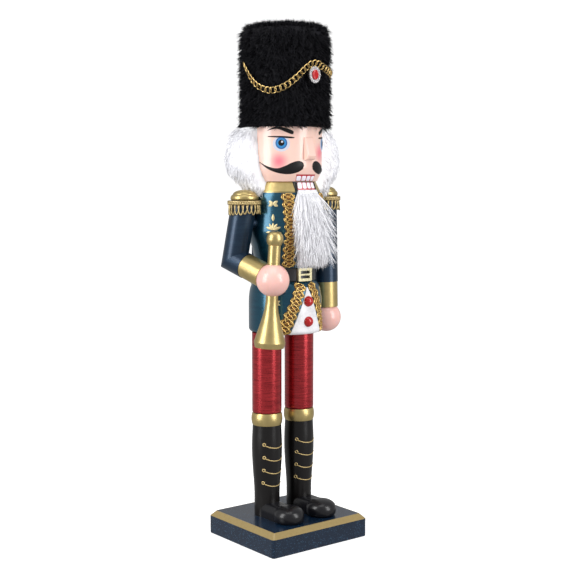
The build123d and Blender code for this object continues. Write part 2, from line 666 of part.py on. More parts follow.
# ---- hat ------------------------------------------------------------------
with BuildPart() as hat_core:
    with Locations((0, BODY_Y, HEAD_TOP_Z)):
        Cylinder(HAT_CORE_R, HAT_CORE_TOP_Z - HEAD_TOP_Z, align=(Align.CENTER, Align.CENTER, Align.MIN))
        Cylinder(
            HEAD_DOWEL_R + GLUE_FIT, HEAD_DOWEL_BITE,
            align=(Align.CENTER, Align.CENTER, Align.MIN), mode=Mode.SUBTRACT,
        )

with BuildPart() as hat_fur:
    with BuildSketch(BODY):
        with BuildLine():
            Polyline(
                (0, TOTAL_HEIGHT), (0, HAT_CORE_TOP_Z), (HAT_CORE_R, HAT_CORE_TOP_Z),
                (HAT_CORE_R, FUR_LOW_Z), (FUR_R - 1.5, FUR_LOW_Z),
            )
            Bezier(
                (FUR_R - 1.5, FUR_LOW_Z), (FUR_R, FUR_LOW_Z + 4),
                (FUR_R, FUR_LOW_Z + 8), (FUR_R, FUR_LOW_Z + 14),
            )
            Line((FUR_R, FUR_LOW_Z + 14), (FUR_R, TOTAL_HEIGHT - 12))
            Bezier(
                (FUR_R, TOTAL_HEIGHT - 12), (FUR_R, TOTAL_HEIGHT - 3),
                (FUR_R - 8, TOTAL_HEIGHT), (0, TOTAL_HEIGHT),
            )
        make_face()
    revolve(axis=BODY_AXIS)


def on_swag(angle, rise):
    """A point on the chain's centre line, this far round and this far above its lowest point."""
    reach = FUR_R + CHAIN_WIRE_R - CHAIN_BED
    return (-reach * sin(radians(angle)), BODY_Y - reach * cos(radians(angle)), CHAIN_LOW_Z + rise)


with BuildPart() as hat_chain:
    with BuildLine() as swag:
        Spline(*[on_swag(angle, rise) for angle, rise in CHAIN_SWAGS])
    with BuildSketch(Plane(origin=swag.line @ 0, z_dir=swag.line % 0)):
        Circle(CHAIN_WIRE_R)
    sweep()
    add(hat_fur.part, mode=Mode.SUBTRACT)

with BuildPart() as hat_badge:
    with BuildSketch(FRONT.offset(FUR_R - BODY_Y - 0.6)):
        with Locations((0, BADGE_Z)):
            Ellipse(BADGE_HALF_W, BADGE_HALF_H)
    extrude(amount=BADGE_THICK + 0.6)
    add(hat_fur.part, mode=Mode.SUBTRACT)
    with BuildSketch(FRONT.offset(FUR_R - BODY_Y + BADGE_THICK)):
        with Locations((0, BADGE_Z)):
            Ellipse(BADGE_GEM_HALF_W, BADGE_GEM_HALF_H)
    extrude(amount=-0.8, mode=Mode.SUBTRACT)

with BuildPart() as badge_gem:
    with BuildSketch(FRONT.offset(FUR_R - BODY_Y + BADGE_THICK - 0.8)):
        with Locations((0, BADGE_Z)):
            Ellipse(BADGE_GEM_HALF_W, BADGE_GEM_HALF_H)
    extrude(amount=2.0)
    fillet(badge_gem.faces().sort_by(Axis.Y)[0].edges(), radius=0.8)

# ---- arms -----------------------------------------------------------------
SHOULDER_RIGHT = Vector(RIGHT_SHOULDER[0], BODY_Y, RIGHT_SHOULDER[1])
SHOULDER_LEFT = Vector(LEFT_SHOULDER[0], BODY_Y, LEFT_SHOULDER[1])
ELBOW_AT = Vector(*ELBOW)
UPPER_DIR = (ELBOW_AT - SHOULDER_RIGHT).normalized()
FOREARM_DIR = Vector(*FORE_DIR).normalized()
RIGHT_HAND_AT = ELBOW_AT + FOREARM_DIR * FORE_L
RIGHT_CUFF_AT = RIGHT_HAND_AT - FOREARM_DIR * HAND_FLAT
RIGHT_WRIST_AT = RIGHT_CUFF_AT - FOREARM_DIR * CUFF_L
MITRE = Plane(origin=ELBOW_AT, z_dir=UPPER_DIR + FOREARM_DIR)
LEFT_HAND_AT = Vector(LEFT_HAND_X, BODY_Y, LEFT_CUFF_Z - LEFT_CUFF_L - HAND_FLAT)
LEFT_DIR = (LEFT_HAND_AT - SHOULDER_LEFT).normalized()
LEFT_CUFF_AT = LEFT_HAND_AT - LEFT_DIR * HAND_FLAT
LEFT_WRIST_AT = LEFT_CUFF_AT - LEFT_DIR * LEFT_CUFF_L
BACKWARD = (Align.CENTER, Align.CENTER, Align.MAX)


def along(point, direction):
    """A plane at the point whose normal runs along the limb."""
    return Plane(origin=point, z_dir=direction)


with BuildPart() as upper_arm_right:
    with BuildSketch(along(SHOULDER_RIGHT - UPPER_DIR * SLEEVE_R, UPPER_DIR)):
        Circle(SLEEVE_R)
    extrude(amount=(ELBOW_AT - SHOULDER_RIGHT).length + 3 * SLEEVE_R)
    split(bisect_by=MITRE, keep=Keep.BOTTOM)
    split(bisect_by=flat(SHOULDER_RIGHT.Z), keep=Keep.BOTTOM)
    add(chest.part, mode=Mode.SUBTRACT)
    with Locations((-CHEST_R, BODY_Y, SHOULDER_DOWEL_Z)):
        Cylinder(
            SHOULDER_DOWEL_R + GLUE_FIT, 2 * SHOULDER_BITE, rotation=(0, 90, 0), mode=Mode.SUBTRACT,
        )

with BuildPart() as forearm_right:
    with BuildSketch(along(ELBOW_AT - FOREARM_DIR * 2 * SLEEVE_R, FOREARM_DIR)):
        Circle(SLEEVE_R)
    extrude(amount=(RIGHT_WRIST_AT - ELBOW_AT).length + 2 * SLEEVE_R)
    split(bisect_by=MITRE, keep=Keep.TOP)
    with BuildSketch(along(RIGHT_WRIST_AT, FOREARM_DIR)):
        Circle(TENON_R)
    extrude(amount=TENON_L)

with BuildPart() as cuff_right:
    with BuildSketch(along(RIGHT_WRIST_AT, FOREARM_DIR)):
        Circle(CUFF_R)
    extrude(amount=CUFF_L)
    with BuildSketch(along(RIGHT_WRIST_AT, FOREARM_DIR)):
        Circle(TENON_R + GLUE_FIT)
    extrude(amount=TENON_L, mode=Mode.SUBTRACT)
    with BuildSketch(along(RIGHT_CUFF_AT, FOREARM_DIR)):
        Circle(TENON_R + GLUE_FIT)
    extrude(amount=-TENON_L, mode=Mode.SUBTRACT)

HORN_DIR = Vector(*HORN_LEAN).normalized()
HORN_AT = Plane(origin=RIGHT_HAND_AT, z_dir=HORN_DIR)
HORN_SECTION = Plane(origin=RIGHT_HAND_AT, x_dir=HORN_AT.x_dir, z_dir=HORN_AT.y_dir * -1)
with BuildPart() as hand_right:
    with Locations(RIGHT_HAND_AT):
        Sphere(RIGHT_HAND_R)
    split(bisect_by=along(RIGHT_CUFF_AT, FOREARM_DIR), keep=Keep.TOP)
    with BuildSketch(along(RIGHT_CUFF_AT, FOREARM_DIR)):
        Circle(TENON_R)
    extrude(amount=-TENON_L)
    # the horn is pushed in from above and from below
    with BuildSketch(along(RIGHT_HAND_AT, HORN_DIR)):
        Circle(HORN_NECK_R + GLUE_FIT)
    extrude(amount=2 * RIGHT_HAND_R, both=True, mode=Mode.SUBTRACT)

with BuildPart() as horn_mouthpiece:
    with BuildSketch(HORN_SECTION):
        with BuildLine():
            Polyline((0, HORN_TOP), (0, 0), (HORN_NECK_R, 0), (HORN_NECK_R, HORN_TOP - HORN_KNOB_H))
            ThreePointArc(
                (HORN_NECK_R, HORN_TOP - HORN_KNOB_H), (HORN_KNOB_R, HORN_TOP - 0.55 * HORN_KNOB_H),
                (HORN_NECK_R, HORN_TOP - 0.6),
            )
            Polyline((HORN_NECK_R, HORN_TOP - 0.6), (HORN_NECK_R - 1.5, HORN_TOP), (0, HORN_TOP))
        make_face()
    revolve(axis=Axis(RIGHT_HAND_AT, HORN_DIR))

with BuildPart() as horn_bell:
    with BuildSketch(HORN_SECTION):
        with BuildLine():
            Polyline((0, -HORN_LOW + 3), (0, 0), (HORN_NECK_R, 0), (HORN_NECK_R, -RIGHT_HAND_R - 2))
            Spline(
                (HORN_NECK_R, -RIGHT_HAND_R - 2), (HORN_NECK_R + 2.1, -27.7), (HORN_NECK_R + 4.8, -37.0),
                (HORN_BELL_R, -HORN_LOW + HORN_LIP_H),
                tangents=((0, -1), (0.3, -1)),
            )
            Polyline(
                (HORN_BELL_R, -HORN_LOW + HORN_LIP_H), (HORN_BELL_R - 0.9, -HORN_LOW),
                (HORN_BELL_R - 2.4, -HORN_LOW),
            )
            Spline(
                (HORN_BELL_R - 2.4, -HORN_LOW), (HORN_BELL_R - 5.0, -HORN_LOW + 2.0), (0, -HORN_LOW + 3),
                tangents=((-1, 0.6), (-1, 0)),
            )
        make_face()
    revolve(axis=Axis(RIGHT_HAND_AT, HORN_DIR))

with BuildPart() as sleeve_left:
    with BuildSketch(along(SHOULDER_LEFT - LEFT_DIR * SLEEVE_R, LEFT_DIR)):
        Circle(SLEEVE_R)
    extrude(amount=(LEFT_WRIST_AT - SHOULDER_LEFT).length + SLEEVE_R)
    split(bisect_by=flat(SHOULDER_LEFT.Z), keep=Keep.BOTTOM)
    with BuildSketch(along(LEFT_WRIST_AT, LEFT_DIR)):
        Circle(TENON_R)
    extrude(amount=TENON_L)
    with Locations((CHEST_R, BODY_Y, SHOULDER_DOWEL_Z)):
        Cylinder(
            SHOULDER_DOWEL_R + GLUE_FIT, 2 * SHOULDER_BITE, rotation=(0, 90, 0), mode=Mode.SUBTRACT,
        )

with BuildPart() as cuff_left:
    with BuildSketch(along(LEFT_WRIST_AT, LEFT_DIR)):
        Circle(CUFF_R)
    extrude(amount=LEFT_CUFF_L)
    with BuildSketch(along(LEFT_WRIST_AT, LEFT_DIR)):
        Circle(TENON_R + GLUE_FIT)
    extrude(amount=TENON_L, mode=Mode.SUBTRACT)
    with BuildSketch(along(LEFT_CUFF_AT, LEFT_DIR)):
        Circle(TENON_R + GLUE_FIT)
    extrude(amount=-TENON_L, mode=Mode.SUBTRACT)

with BuildPart() as hand_left:
    with Locations(LEFT_HAND_AT):
        Sphere(LEFT_HAND_R)
    split(bisect_by=along(LEFT_CUFF_AT, LEFT_DIR), keep=Keep.TOP)
    with BuildSketch(along(LEFT_CUFF_AT, LEFT_DIR)):
        Circle(TENON_R)
    extrude(amount=-TENON_L)

with BuildPart() as shoulder_dowels:
    with Locations((-CHEST_R, BODY_Y, SHOULDER_DOWEL_Z), (CHEST_R, BODY_Y, SHOULDER_DOWEL_Z)):
        Cylinder(SHOULDER_DOWEL_R, 2 * SHOULDER_BITE, rotation=(0, 90, 0))

with BuildPart() as epaulette_cap:
    with BuildSketch(Plane(origin=SHOULDER_LEFT, x_dir=(1, 0, 0), z_dir=(0, -1, 0))):
        with BuildLine():
            Polyline((0, EPAULETTE_H), (0, 0), (EPAULETTE_R - 0.8, 0))
            Spline(
                (EPAULETTE_R - 0.8, 0), (EPAULETTE_R, 2.0), (EPAULETTE_R - 1.5, 4.2),
                tangents=((1, 0.6), (-0.8, 0.5)),
            )
            Spline(
                (EPAULETTE_R - 1.5, 4.2), (EPAULETTE_R - 4.2, EPAULETTE_H - 0.9), (0, EPAULETTE_H),
                tangents=((-0.3, 1), (-1, 0)),
            )
        make_face()
    revolve(axis=Axis(SHOULDER_LEFT, (0, 0, 1)))

with BuildPart() as epaulette_left:
    add(epaulette_cap.part)
    add(chest.part, mode=Mode.SUBTRACT)

with BuildPart() as epaulette_right:
    with Locations(SHOULDER_RIGHT - SHOULDER_LEFT):
        add(epaulette_cap.part)
    add(chest.part, mode=Mode.SUBTRACT)

with BuildPart() as fringe_left:
    with Locations(SHOULDER_LEFT):
        Cylinder(FRINGE_R, FRINGE_H, align=BACKWARD)
        Cylinder(FRINGE_R - FRINGE_WALL, FRINGE_H, align=BACKWARD, mode=Mode.SUBTRACT)
    add(sleeve_left.part, mode=Mode.SUBTRACT)
    add(chest.part, mode=Mode.SUBTRACT)

with BuildPart() as fringe_right:
    with Locations(SHOULDER_RIGHT):
        Cylinder(FRINGE_R, FRINGE_H, align=BACKWARD)
        Cylinder(FRINGE_R - FRINGE_WALL, FRINGE_H, align=BACKWARD, mode=Mode.SUBTRACT)
    add(upper_arm_right.part, mode=Mode.SUBTRACT)
    add(chest.part, mode=Mode.SUBTRACT)

# ---- hair -----------------------------------------------------------------
HAIR_MID_Z = (HAIR_LOW_Z + HAIR_TOP_Z) / 2
HAIR_LOBE_X = HEAD_R + 6
with BuildPart() as hair:
    with Locations((0, BODY_Y, HAIR_LOW_Z)):
        Cylinder(
            HEAD_R + HAIR_BACK, HAIR_TOP_Z - HAIR_LOW_Z, align=(Align.CENTER, Align.CENTER, Align.MIN),
        )
    fillet(hair.edges(), radius=8)
    with Locations((-HAIR_LOBE_X, BODY_Y + 5, HAIR_MID_Z), (HAIR_LOBE_X, BODY_Y + 5, HAIR_MID_Z)):
        Cylinder(HAIR_OUT_X - HAIR_LOBE_X, HAIR_TOP_Z - HAIR_LOW_Z - 8)
    # the fur starts just in front of the ears
    with Locations((0, BODY_Y - 5, HAIR_LOW_Z)):
        Box(
            4 * HEAD_R, 4 * HEAD_R, 2 * (HAIR_TOP_Z - HAIR_LOW_Z),
            align=(Align.CENTER, Align.MAX, Align.CENTER), mode=Mode.SUBTRACT,
        )
    add(head.part, mode=Mode.SUBTRACT)
    with Locations((0, BODY_Y, 0)):
        Cylinder(HEAD_R, HEAD_TOP_Z, align=(Align.CENTER, Align.CENTER, Align.MIN), mode=Mode.SUBTRACT)
    with Locations((0, BODY_Y, FUR_LOW_Z)):
        Cylinder(
            2 * FUR_R, HEAD_R, align=(Align.CENTER, Align.CENTER, Align.MIN), mode=Mode.SUBTRACT,
        )
    add(epaulette_left.part, mode=Mode.SUBTRACT)
    add(epaulette_right.part, mode=Mode.SUBTRACT)

for node, label in (
    (base_plinth, "base_plinth"),
    (leg_screws, "leg_screws"),
    (boot_left, "boot_left"),
    (boot_right, "boot_right"),
    (shoe_left, "shoe_left"),
    (shoe_right, "shoe_right"),
    (knee_band_left, "knee_band_left"),
    (knee_band_right, "knee_band_right"),
    (thigh_left, "thigh_left"),
    (thigh_right, "thigh_right"),
    (leg_dowels, "leg_dowels"),
    (skirt, "skirt"),
    (belt, "belt"),
    (waist_dowel, "waist_dowel"),
    (belt_buckle, "belt_buckle"),
    (chest, "chest"),
    (jaw_pivot_pin, "jaw_pivot_pin"),
    (collar, "collar"),
    (neck_dowels, "neck_dowels"),
    (head, "head"),
    (head_dowel, "head_dowel"),
    (nose, "nose"),
    (jaw_lever, "jaw_lever"),
    (chest_braid_left, "chest_braid_left"),
    (chest_braid_right, "chest_braid_right"),
    (skirt_braid_left, "skirt_braid_left"),
    (skirt_braid_right, "skirt_braid_right"),
    (front_panel, "front_panel"),
    (gem_buttons, "gem_buttons"),
    (beard, "beard"),
    (hair, "hair"),
    (hat_core, "hat_core"),
    (hat_fur, "hat_fur"),
    (hat_chain, "hat_chain"),
    (hat_badge, "hat_badge"),
    (badge_gem, "badge_gem"),
    (upper_arm_right, "upper_arm_right"),
    (forearm_right, "forearm_right"),
    (cuff_right, "cuff_right"),
    (hand_right, "hand_right"),
    (horn_mouthpiece, "horn_mouthpiece"),
    (horn_bell, "horn_bell"),
    (sleeve_left, "sleeve_left"),
    (cuff_left, "cuff_left"),
    (hand_left, "hand_left"),
    (shoulder_dowels, "shoulder_dowels"),
    (epaulette_left, "epaulette_left"),
    (epaulette_right, "epaulette_right"),
    (fringe_left, "fringe_left"),
    (fringe_right, "fringe_right"),
):
    node.part.label = label
    export_step(node.part, "parts/" + label + ".step")
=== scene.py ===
"""The nutcracker's looks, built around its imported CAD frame.

Metres, +Z up.  The figure faces -Y and its right hand is on the -X side.  Angles round the
body are in degrees from the front towards -X.  Lengths in the tables are millimetres.
"""

import json
import math

import bpy
import numpy as np
from mathutils import Matrix, Vector
from mathutils.bvhtree import BVHTree


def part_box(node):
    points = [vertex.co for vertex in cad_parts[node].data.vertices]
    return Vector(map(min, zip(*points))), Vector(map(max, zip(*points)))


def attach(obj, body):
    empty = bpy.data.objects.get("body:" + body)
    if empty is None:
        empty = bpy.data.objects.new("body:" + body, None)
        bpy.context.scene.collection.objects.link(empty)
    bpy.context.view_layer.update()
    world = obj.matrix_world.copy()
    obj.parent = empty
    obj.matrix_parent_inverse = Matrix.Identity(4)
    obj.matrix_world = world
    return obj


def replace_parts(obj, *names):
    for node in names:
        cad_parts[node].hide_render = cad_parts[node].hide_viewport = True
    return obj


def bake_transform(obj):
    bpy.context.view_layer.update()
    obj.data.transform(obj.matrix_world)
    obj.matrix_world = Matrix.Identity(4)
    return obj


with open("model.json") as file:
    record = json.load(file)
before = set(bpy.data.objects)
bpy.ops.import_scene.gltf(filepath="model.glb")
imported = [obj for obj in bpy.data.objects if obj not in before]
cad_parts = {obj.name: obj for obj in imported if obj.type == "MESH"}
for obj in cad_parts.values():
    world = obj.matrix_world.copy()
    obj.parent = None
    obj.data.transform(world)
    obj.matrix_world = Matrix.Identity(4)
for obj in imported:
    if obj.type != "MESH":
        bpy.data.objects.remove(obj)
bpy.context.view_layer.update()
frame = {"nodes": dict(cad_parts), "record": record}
MM = 0.001
rng = np.random.default_rng(24)


# ---- frame ----------------------------------------------------------------
def low(node):
    return Vector(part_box(node)[0])


def high(node):
    return Vector(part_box(node)[1])


def mid(node):
    return (low(node) + high(node)) / 2


BODY = mid("skirt")
BODY.z = 0.0


def outward(angle):
    """The level direction this many degrees round from the front towards -X."""
    return Vector((-math.sin(math.radians(angle)), -math.cos(math.radians(angle)), 0))


class Turned:
    """The outer face of a turned CAD part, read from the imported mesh."""

    def __init__(self, node, angle=70, axis=None):
        mesh = frame["nodes"][node].data
        tree = BVHTree.FromPolygons(
            [v.co for v in mesh.vertices], [tuple(p.vertices) for p in mesh.polygons]
        )
        self.axis = Vector((axis.x, axis.y, 0)) if axis else BODY.copy()
        self.zs = np.linspace(low(node).z + 1e-5, high(node).z - 1e-5, 160)
        radii = []
        for z in self.zs:
            start = self.axis + outward(angle) * 0.2 + Vector((0, 0, float(z)))
            hit = tree.ray_cast(start, -outward(angle))[0]
            radii.append((hit - Vector((self.axis.x, self.axis.y, hit.z))).length if hit else np.nan)
        radii = np.array(radii)
        good = ~np.isnan(radii)
        self.radii = np.interp(self.zs, self.zs[good], radii[good])

    def radius(self, z):
        return float(np.interp(z, self.zs, self.radii))

    def round_at(self, angle, z, lift=0.0):
        """A point on the face at this angle and height, lifted off it by this much."""
        return self.axis + outward(angle) * (self.radius(z) + lift) + Vector((0, 0, z))

    def front_at(self, x, z, lift=0.0):
        """The point on the front of the face at this x, measured from the axis."""
        reach = self.radius(z) + lift
        y = -math.sqrt(max(reach * reach - x * x, 0.0))
        return self.axis + Vector((x, y, z))


head = Turned("head", angle=90)
chest = Turned("chest", angle=60)
skirt = Turned("skirt", angle=90)
jaw = Turned("jaw_lever", angle=0)

# ---- materials ------------------------------------------------------------


def material(name, colour, rough=0.4, metal=0.0, coat=0.0, coat_rough=0.08, sheen=0.0, specular=0.5):
    """A plain painted surface; the functions below add its grain and pattern."""
    mat = bpy.data.materials.new(name)
    mat.use_nodes = True
    shader = mat.node_tree.nodes["Principled BSDF"]
    shader.inputs["Base Color"].default_value = (*colour, 1)
    shader.inputs["Roughness"].default_value = rough
    shader.inputs["Metallic"].default_value = metal
    shader.inputs["Coat Weight"].default_value = coat
    shader.inputs["Coat Roughness"].default_value = coat_rough
    shader.inputs["Sheen Weight"].default_value = sheen
    shader.inputs["Specular IOR Level"].default_value = specular
    return mat


def add_node(mat, kind, **values):
    node = mat.node_tree.nodes.new(kind)
    for key, value in values.items():
        if key in node.inputs:
            node.inputs[key].default_value = value
        else:
            setattr(node, key, value)
    return node


def link(mat, a, b):
    mat.node_tree.links.new(a, b)


def shader_of(mat):
    return mat.node_tree.nodes["Principled BSDF"]


def place_in(mat):
    """The point in metres, in the part's own frame."""
    return add_node(mat, "ShaderNodeTexCoord").outputs["Object"]


def stretched(mat, scale):
    mapping = add_node(mat, "ShaderNodeMapping", Scale=scale)
    link(mat, place_in(mat), mapping.inputs["Vector"])
    return mapping.outputs["Vector"]


def math_node(mat, operation, a, b):
    node = add_node(mat, "ShaderNodeMath", operation=operation)
    for socket, value in zip(node.inputs, (a, b)):
        if isinstance(value, (int, float)):
            socket.default_value = value
        else:
            link(mat, value, socket)
    return node.outputs[0]


def mixed(mat, factor, first, second):
    """A colour that goes from first to second with factor."""
    node = add_node(mat, "ShaderNodeMix", data_type="RGBA")
    for socket, value in ((node.inputs[0], factor), (node.inputs[6], first), (node.inputs[7], second)):
        if isinstance(value, tuple):
            socket.default_value = (*value, 1)
        elif isinstance(value, (int, float)):
            socket.default_value = value
        else:
            link(mat, value, socket)
    return node.outputs[2]


def ramp(mat, source, low_at, high_at):
    node = add_node(mat, "ShaderNodeMapRange", clamp=True)
    link(mat, source, node.inputs["Value"])
    node.inputs["From Min"].default_value = low_at
    node.inputs["From Max"].default_value = high_at
    return node.outputs["Result"]


def noise(mat, scale, stretch=(1, 1, 1), detail=4.0):
    node = add_node(mat, "ShaderNodeTexNoise", Scale=scale, Detail=detail)
    link(mat, stretched(mat, stretch), node.inputs["Vector"])
    return node.outputs["Fac"]


def roughen(mat, height, strength, distance=0.0002):
    """Bumps the surface by a height field."""
    bump = add_node(mat, "ShaderNodeBump", Strength=strength, Distance=distance)
    link(mat, height, bump.inputs["Height"])
    link(mat, bump.outputs["Normal"], shader_of(mat).inputs["Normal"])


def set_colour(mat, source):
    link(mat, source, shader_of(mat).inputs["Base Color"])


def brushed_paint(name, colour, **kind):
    """Hand paint: a slight mottling, and fine brush marks in the surface."""
    mat = material(name, colour, **kind)
    fleck = ramp(mat, noise(mat, 260, detail=3), 0.3, 0.7)
    dark = tuple(0.90 * c for c in colour)
    light = tuple(min(1.0, 1.08 * c) for c in colour)
    set_colour(mat, mixed(mat, fleck, dark, light))
    roughen(mat, noise(mat, 900, (1, 1, 0.35)), 0.12)
    return mat


def glitter_paint(name, base, bright, scale, amount, **kind):
    """Paint with fine flakes in it: a few cells of a very fine cell pattern are brighter."""
    mat = material(name, base, **kind)
    cells = add_node(mat, "ShaderNodeTexVoronoi", Scale=scale)
    link(mat, place_in(mat), cells.inputs["Vector"])
    value = add_node(mat, "ShaderNodeSeparateColor")
    link(mat, cells.outputs["Color"], value.inputs[0])
    flake = ramp(mat, value.outputs[0], 1 - amount, 1.0)
    soft = ramp(mat, noise(mat, 150, detail=2), 0.3, 0.7)
    body = mixed(mat, soft, tuple(0.86 * c for c in base), tuple(1.12 * c for c in base))
    set_colour(mat, mixed(mat, flake, body, bright))
    roughen(mat, value.outputs[1], 0.12, 0.00006)
    return mat


def lined_metal(name, base, bright, lines, **kind):
    """Metallic paint over a turned part, with the fine level marks of the lathe and its brush."""
    mat = material(name, base, **kind)
    level = noise(mat, lines, (0.06, 0.06, 1), detail=3)
    grain = ramp(mat, noise(mat, 2600, detail=1), 0.45, 0.75)
    lined = math_node(mat, "MULTIPLY", ramp(mat, level, 0.3, 0.7), 0.55)
    tone = mixed(mat, lined, base, bright)
    set_colour(mat, mixed(mat, math_node(mat, "MULTIPLY", grain, 0.5), tone, bright))
    roughen(mat, level, 0.12, 0.00010)
    return mat


def plinth_paint():
    """Navy shimmer with a gold bevel round its top."""
    mat = glitter_paint(
        "plinth_navy", (0.003, 0.013, 0.034), (0.05, 0.13, 0.22), 2600, 0.08,
        rough=0.34, metal=0.0, specular=0.25, coat=0.55, coat_rough=0.05,
    )
    links = mat.node_tree.links
    old = shader_of(mat).inputs["Base Color"].links[0].from_socket
    split = add_node(mat, "ShaderNodeSeparateXYZ")
    link(mat, place_in(mat), split.inputs[0])
    top = high("base_plinth")
    bevel = 3.8 * MM
    above = math_node(mat, "GREATER_THAN", split.outputs[2], top.z - bevel + 0.05 * MM)
    across = math_node(mat, "ABSOLUTE", split.outputs[0], 0)
    along = math_node(mat, "ABSOLUTE", split.outputs[1], 0)
    side_x = math_node(mat, "GREATER_THAN", across, top.x - bevel - 0.4 * MM)
    side_y = math_node(mat, "GREATER_THAN", along, top.y - bevel - 0.4 * MM)
    edge = math_node(mat, "MULTIPLY", above, math_node(mat, "MAXIMUM", side_x, side_y))
    gold = mixed(mat, noise(mat, 500), (0.27, 0.19, 0.07), (0.36, 0.27, 0.11))
    links.new(mixed(mat, edge, old, gold), shader_of(mat).inputs["Base Color"])
    return mat


def skin_paint(name, colour, blush):
    """Gloss peach paint; blush is a list of (point, radius, strength) for soft pink cheeks."""
    mat = material(name, colour, rough=0.32, coat=0.5, coat_rough=0.1)
    shader_of(mat).inputs["Subsurface Weight"].default_value = 0.08
    shader_of(mat).inputs["Subsurface Radius"].default_value = (0.004, 0.002, 0.001)
    tone = mixed(mat, noise(mat, 120), tuple(0.97 * c for c in colour), colour)
    for point, reach, strength in blush:
        gap = add_node(mat, "ShaderNodeVectorMath", operation="DISTANCE")
        link(mat, place_in(mat), gap.inputs[0])
        gap.inputs[1].default_value = point
        near = add_node(mat, "ShaderNodeMapRange", clamp=True, interpolation_type="SMOOTHSTEP")
        link(mat, gap.outputs["Value"], near.inputs["Value"])
        near.inputs["From Min"].default_value = reach
        near.inputs["From Max"].default_value = 0.0
        near.inputs["To Max"].default_value = strength
        tone = mixed(mat, near.outputs["Result"], tone, (0.93, 0.20, 0.27))
    set_colour(mat, tone)
    roughen(mat, noise(mat, 500), 0.05)
    return mat


CHEEKS = ((47, 280.4, 9.0), (-29, 286.5, 9.5))    # angle, height and reach of each blush
cheeks = [(head.round_at(angle, z * MM), reach * MM, 0.95) for angle, z, reach in CHEEKS]

MATERIALS = {
    "plinth_navy": plinth_paint(),
    "steel": material("steel", (0.55, 0.55, 0.57), rough=0.35, metal=1.0),
    "raw_wood": brushed_paint("raw_wood", (0.62, 0.44, 0.26), rough=0.6),
    "boot_black": brushed_paint("boot_black", (0.006, 0.005, 0.005), rough=0.30, specular=0.30, coat=0.10),
    "shoe_black": brushed_paint("shoe_black", (0.006, 0.006, 0.008), rough=0.30, specular=0.35, coat=0.2),
    "gold_paint": brushed_paint("gold_paint", (0.54, 0.42, 0.18), rough=0.36, metal=0.88),
    "trouser_red": lined_metal(
        "trouser_red", (0.20, 0.004, 0.008), (0.72, 0.05, 0.06), 1500, rough=0.24, metal=0.7, coat=0.25,
        coat_rough=0.2,
    ),
    "coat_blue": lined_metal(
        "coat_blue", (0.007, 0.055, 0.098), (0.016, 0.11, 0.17), 900, rough=0.24, metal=0.7, coat=0.4,
        coat_rough=0.15,
    ),
    "sleeve_blue": lined_metal(
        "sleeve_blue", (0.008, 0.022, 0.050), (0.018, 0.050, 0.09), 900, rough=0.36, metal=0.6, coat=0.3,
        coat_rough=0.2,
    ),
    "belt_black": brushed_paint("belt_black", (0.010, 0.010, 0.012), rough=0.4, coat=0.3),
    "buckle_gold": brushed_paint("buckle_gold", (0.82, 0.74, 0.46), rough=0.3, metal=0.9),
    "skin": skin_paint("skin", (0.94, 0.63, 0.54), cheeks),
    "hand_pink": skin_paint("hand_pink", (0.95, 0.55, 0.49), []),
    "braid_gold": brushed_paint("braid_gold", (0.84, 0.58, 0.20), rough=0.26, metal=0.85),
    "braid_amber": brushed_paint("braid_amber", (0.52, 0.24, 0.05), rough=0.35, metal=0.6),
    "braid_ground": brushed_paint("braid_ground", (0.11, 0.050, 0.010), rough=0.5),
    "fringe_gold": brushed_paint("fringe_gold", (0.52, 0.40, 0.19), rough=0.38, metal=0.85),
    "panel_white": glitter_paint(
        "panel_white", (0.84, 0.84, 0.88), (1.0, 1.0, 1.0), 2600, 0.4, rough=0.45, coat=0.2,
    ),
    "gem_red": material("gem_red", (0.50, 0.002, 0.005), rough=0.12, specular=0.4, coat=0.7, coat_rough=0.03),
    "white_fur": material("white_fur", (0.97, 0.97, 1.0), rough=0.8, sheen=0.6, specular=0.15),
    "hat_card": brushed_paint("hat_card", (0.05, 0.05, 0.05), rough=0.8),
    "black_fur": material("black_fur", (0.006, 0.006, 0.009), rough=0.6, sheen=0.04, specular=0.16),
    "chain_gold": material("chain_gold", (0.78, 0.55, 0.22), rough=0.22, metal=1.0),
    "badge_silver": material("badge_silver", (0.50, 0.49, 0.50), rough=0.25, metal=1.0),
    "rhinestone": material(
        "rhinestone", (0.52, 0.50, 0.50), rough=0.15, metal=0.6, coat=0.6, coat_rough=0.05,
    ),
    "eye_white": material("eye_white", (0.62, 0.64, 0.74), rough=0.35, coat=0.3),
    "tooth_white": material("tooth_white", (0.93, 0.89, 0.97), rough=0.35, coat=0.3),
    "iris_blue": material("iris_blue", (0.035, 0.24, 0.55), rough=0.3, coat=0.4),
    "iris_dark": material("iris_dark", (0.02, 0.12, 0.36), rough=0.3, coat=0.4),
    "ink_black": brushed_paint("ink_black", (0.007, 0.006, 0.007), rough=0.45, specular=0.3),
    "lip_red": brushed_paint("lip_red", (0.50, 0.02, 0.03), rough=0.35, coat=0.3),
    "sprig_gold": brushed_paint("sprig_gold", (0.62, 0.52, 0.28), rough=0.38, metal=0.5),
    "lace_gold": brushed_paint("lace_gold", (0.62, 0.46, 0.20), rough=0.45, metal=0.4),
}
MATERIALS["jaw_paint"] = brushed_paint("jaw_paint", (0.008, 0.018, 0.034), rough=0.4, coat=0.2)

for entry in frame["record"]["subparts"]:
    node = frame["nodes"][entry["node"]]
    node.data.materials.clear()
    node.data.materials.append(MATERIALS[entry["material_slot"]])

# ---- mesh helpers ---------------------------------------------------------


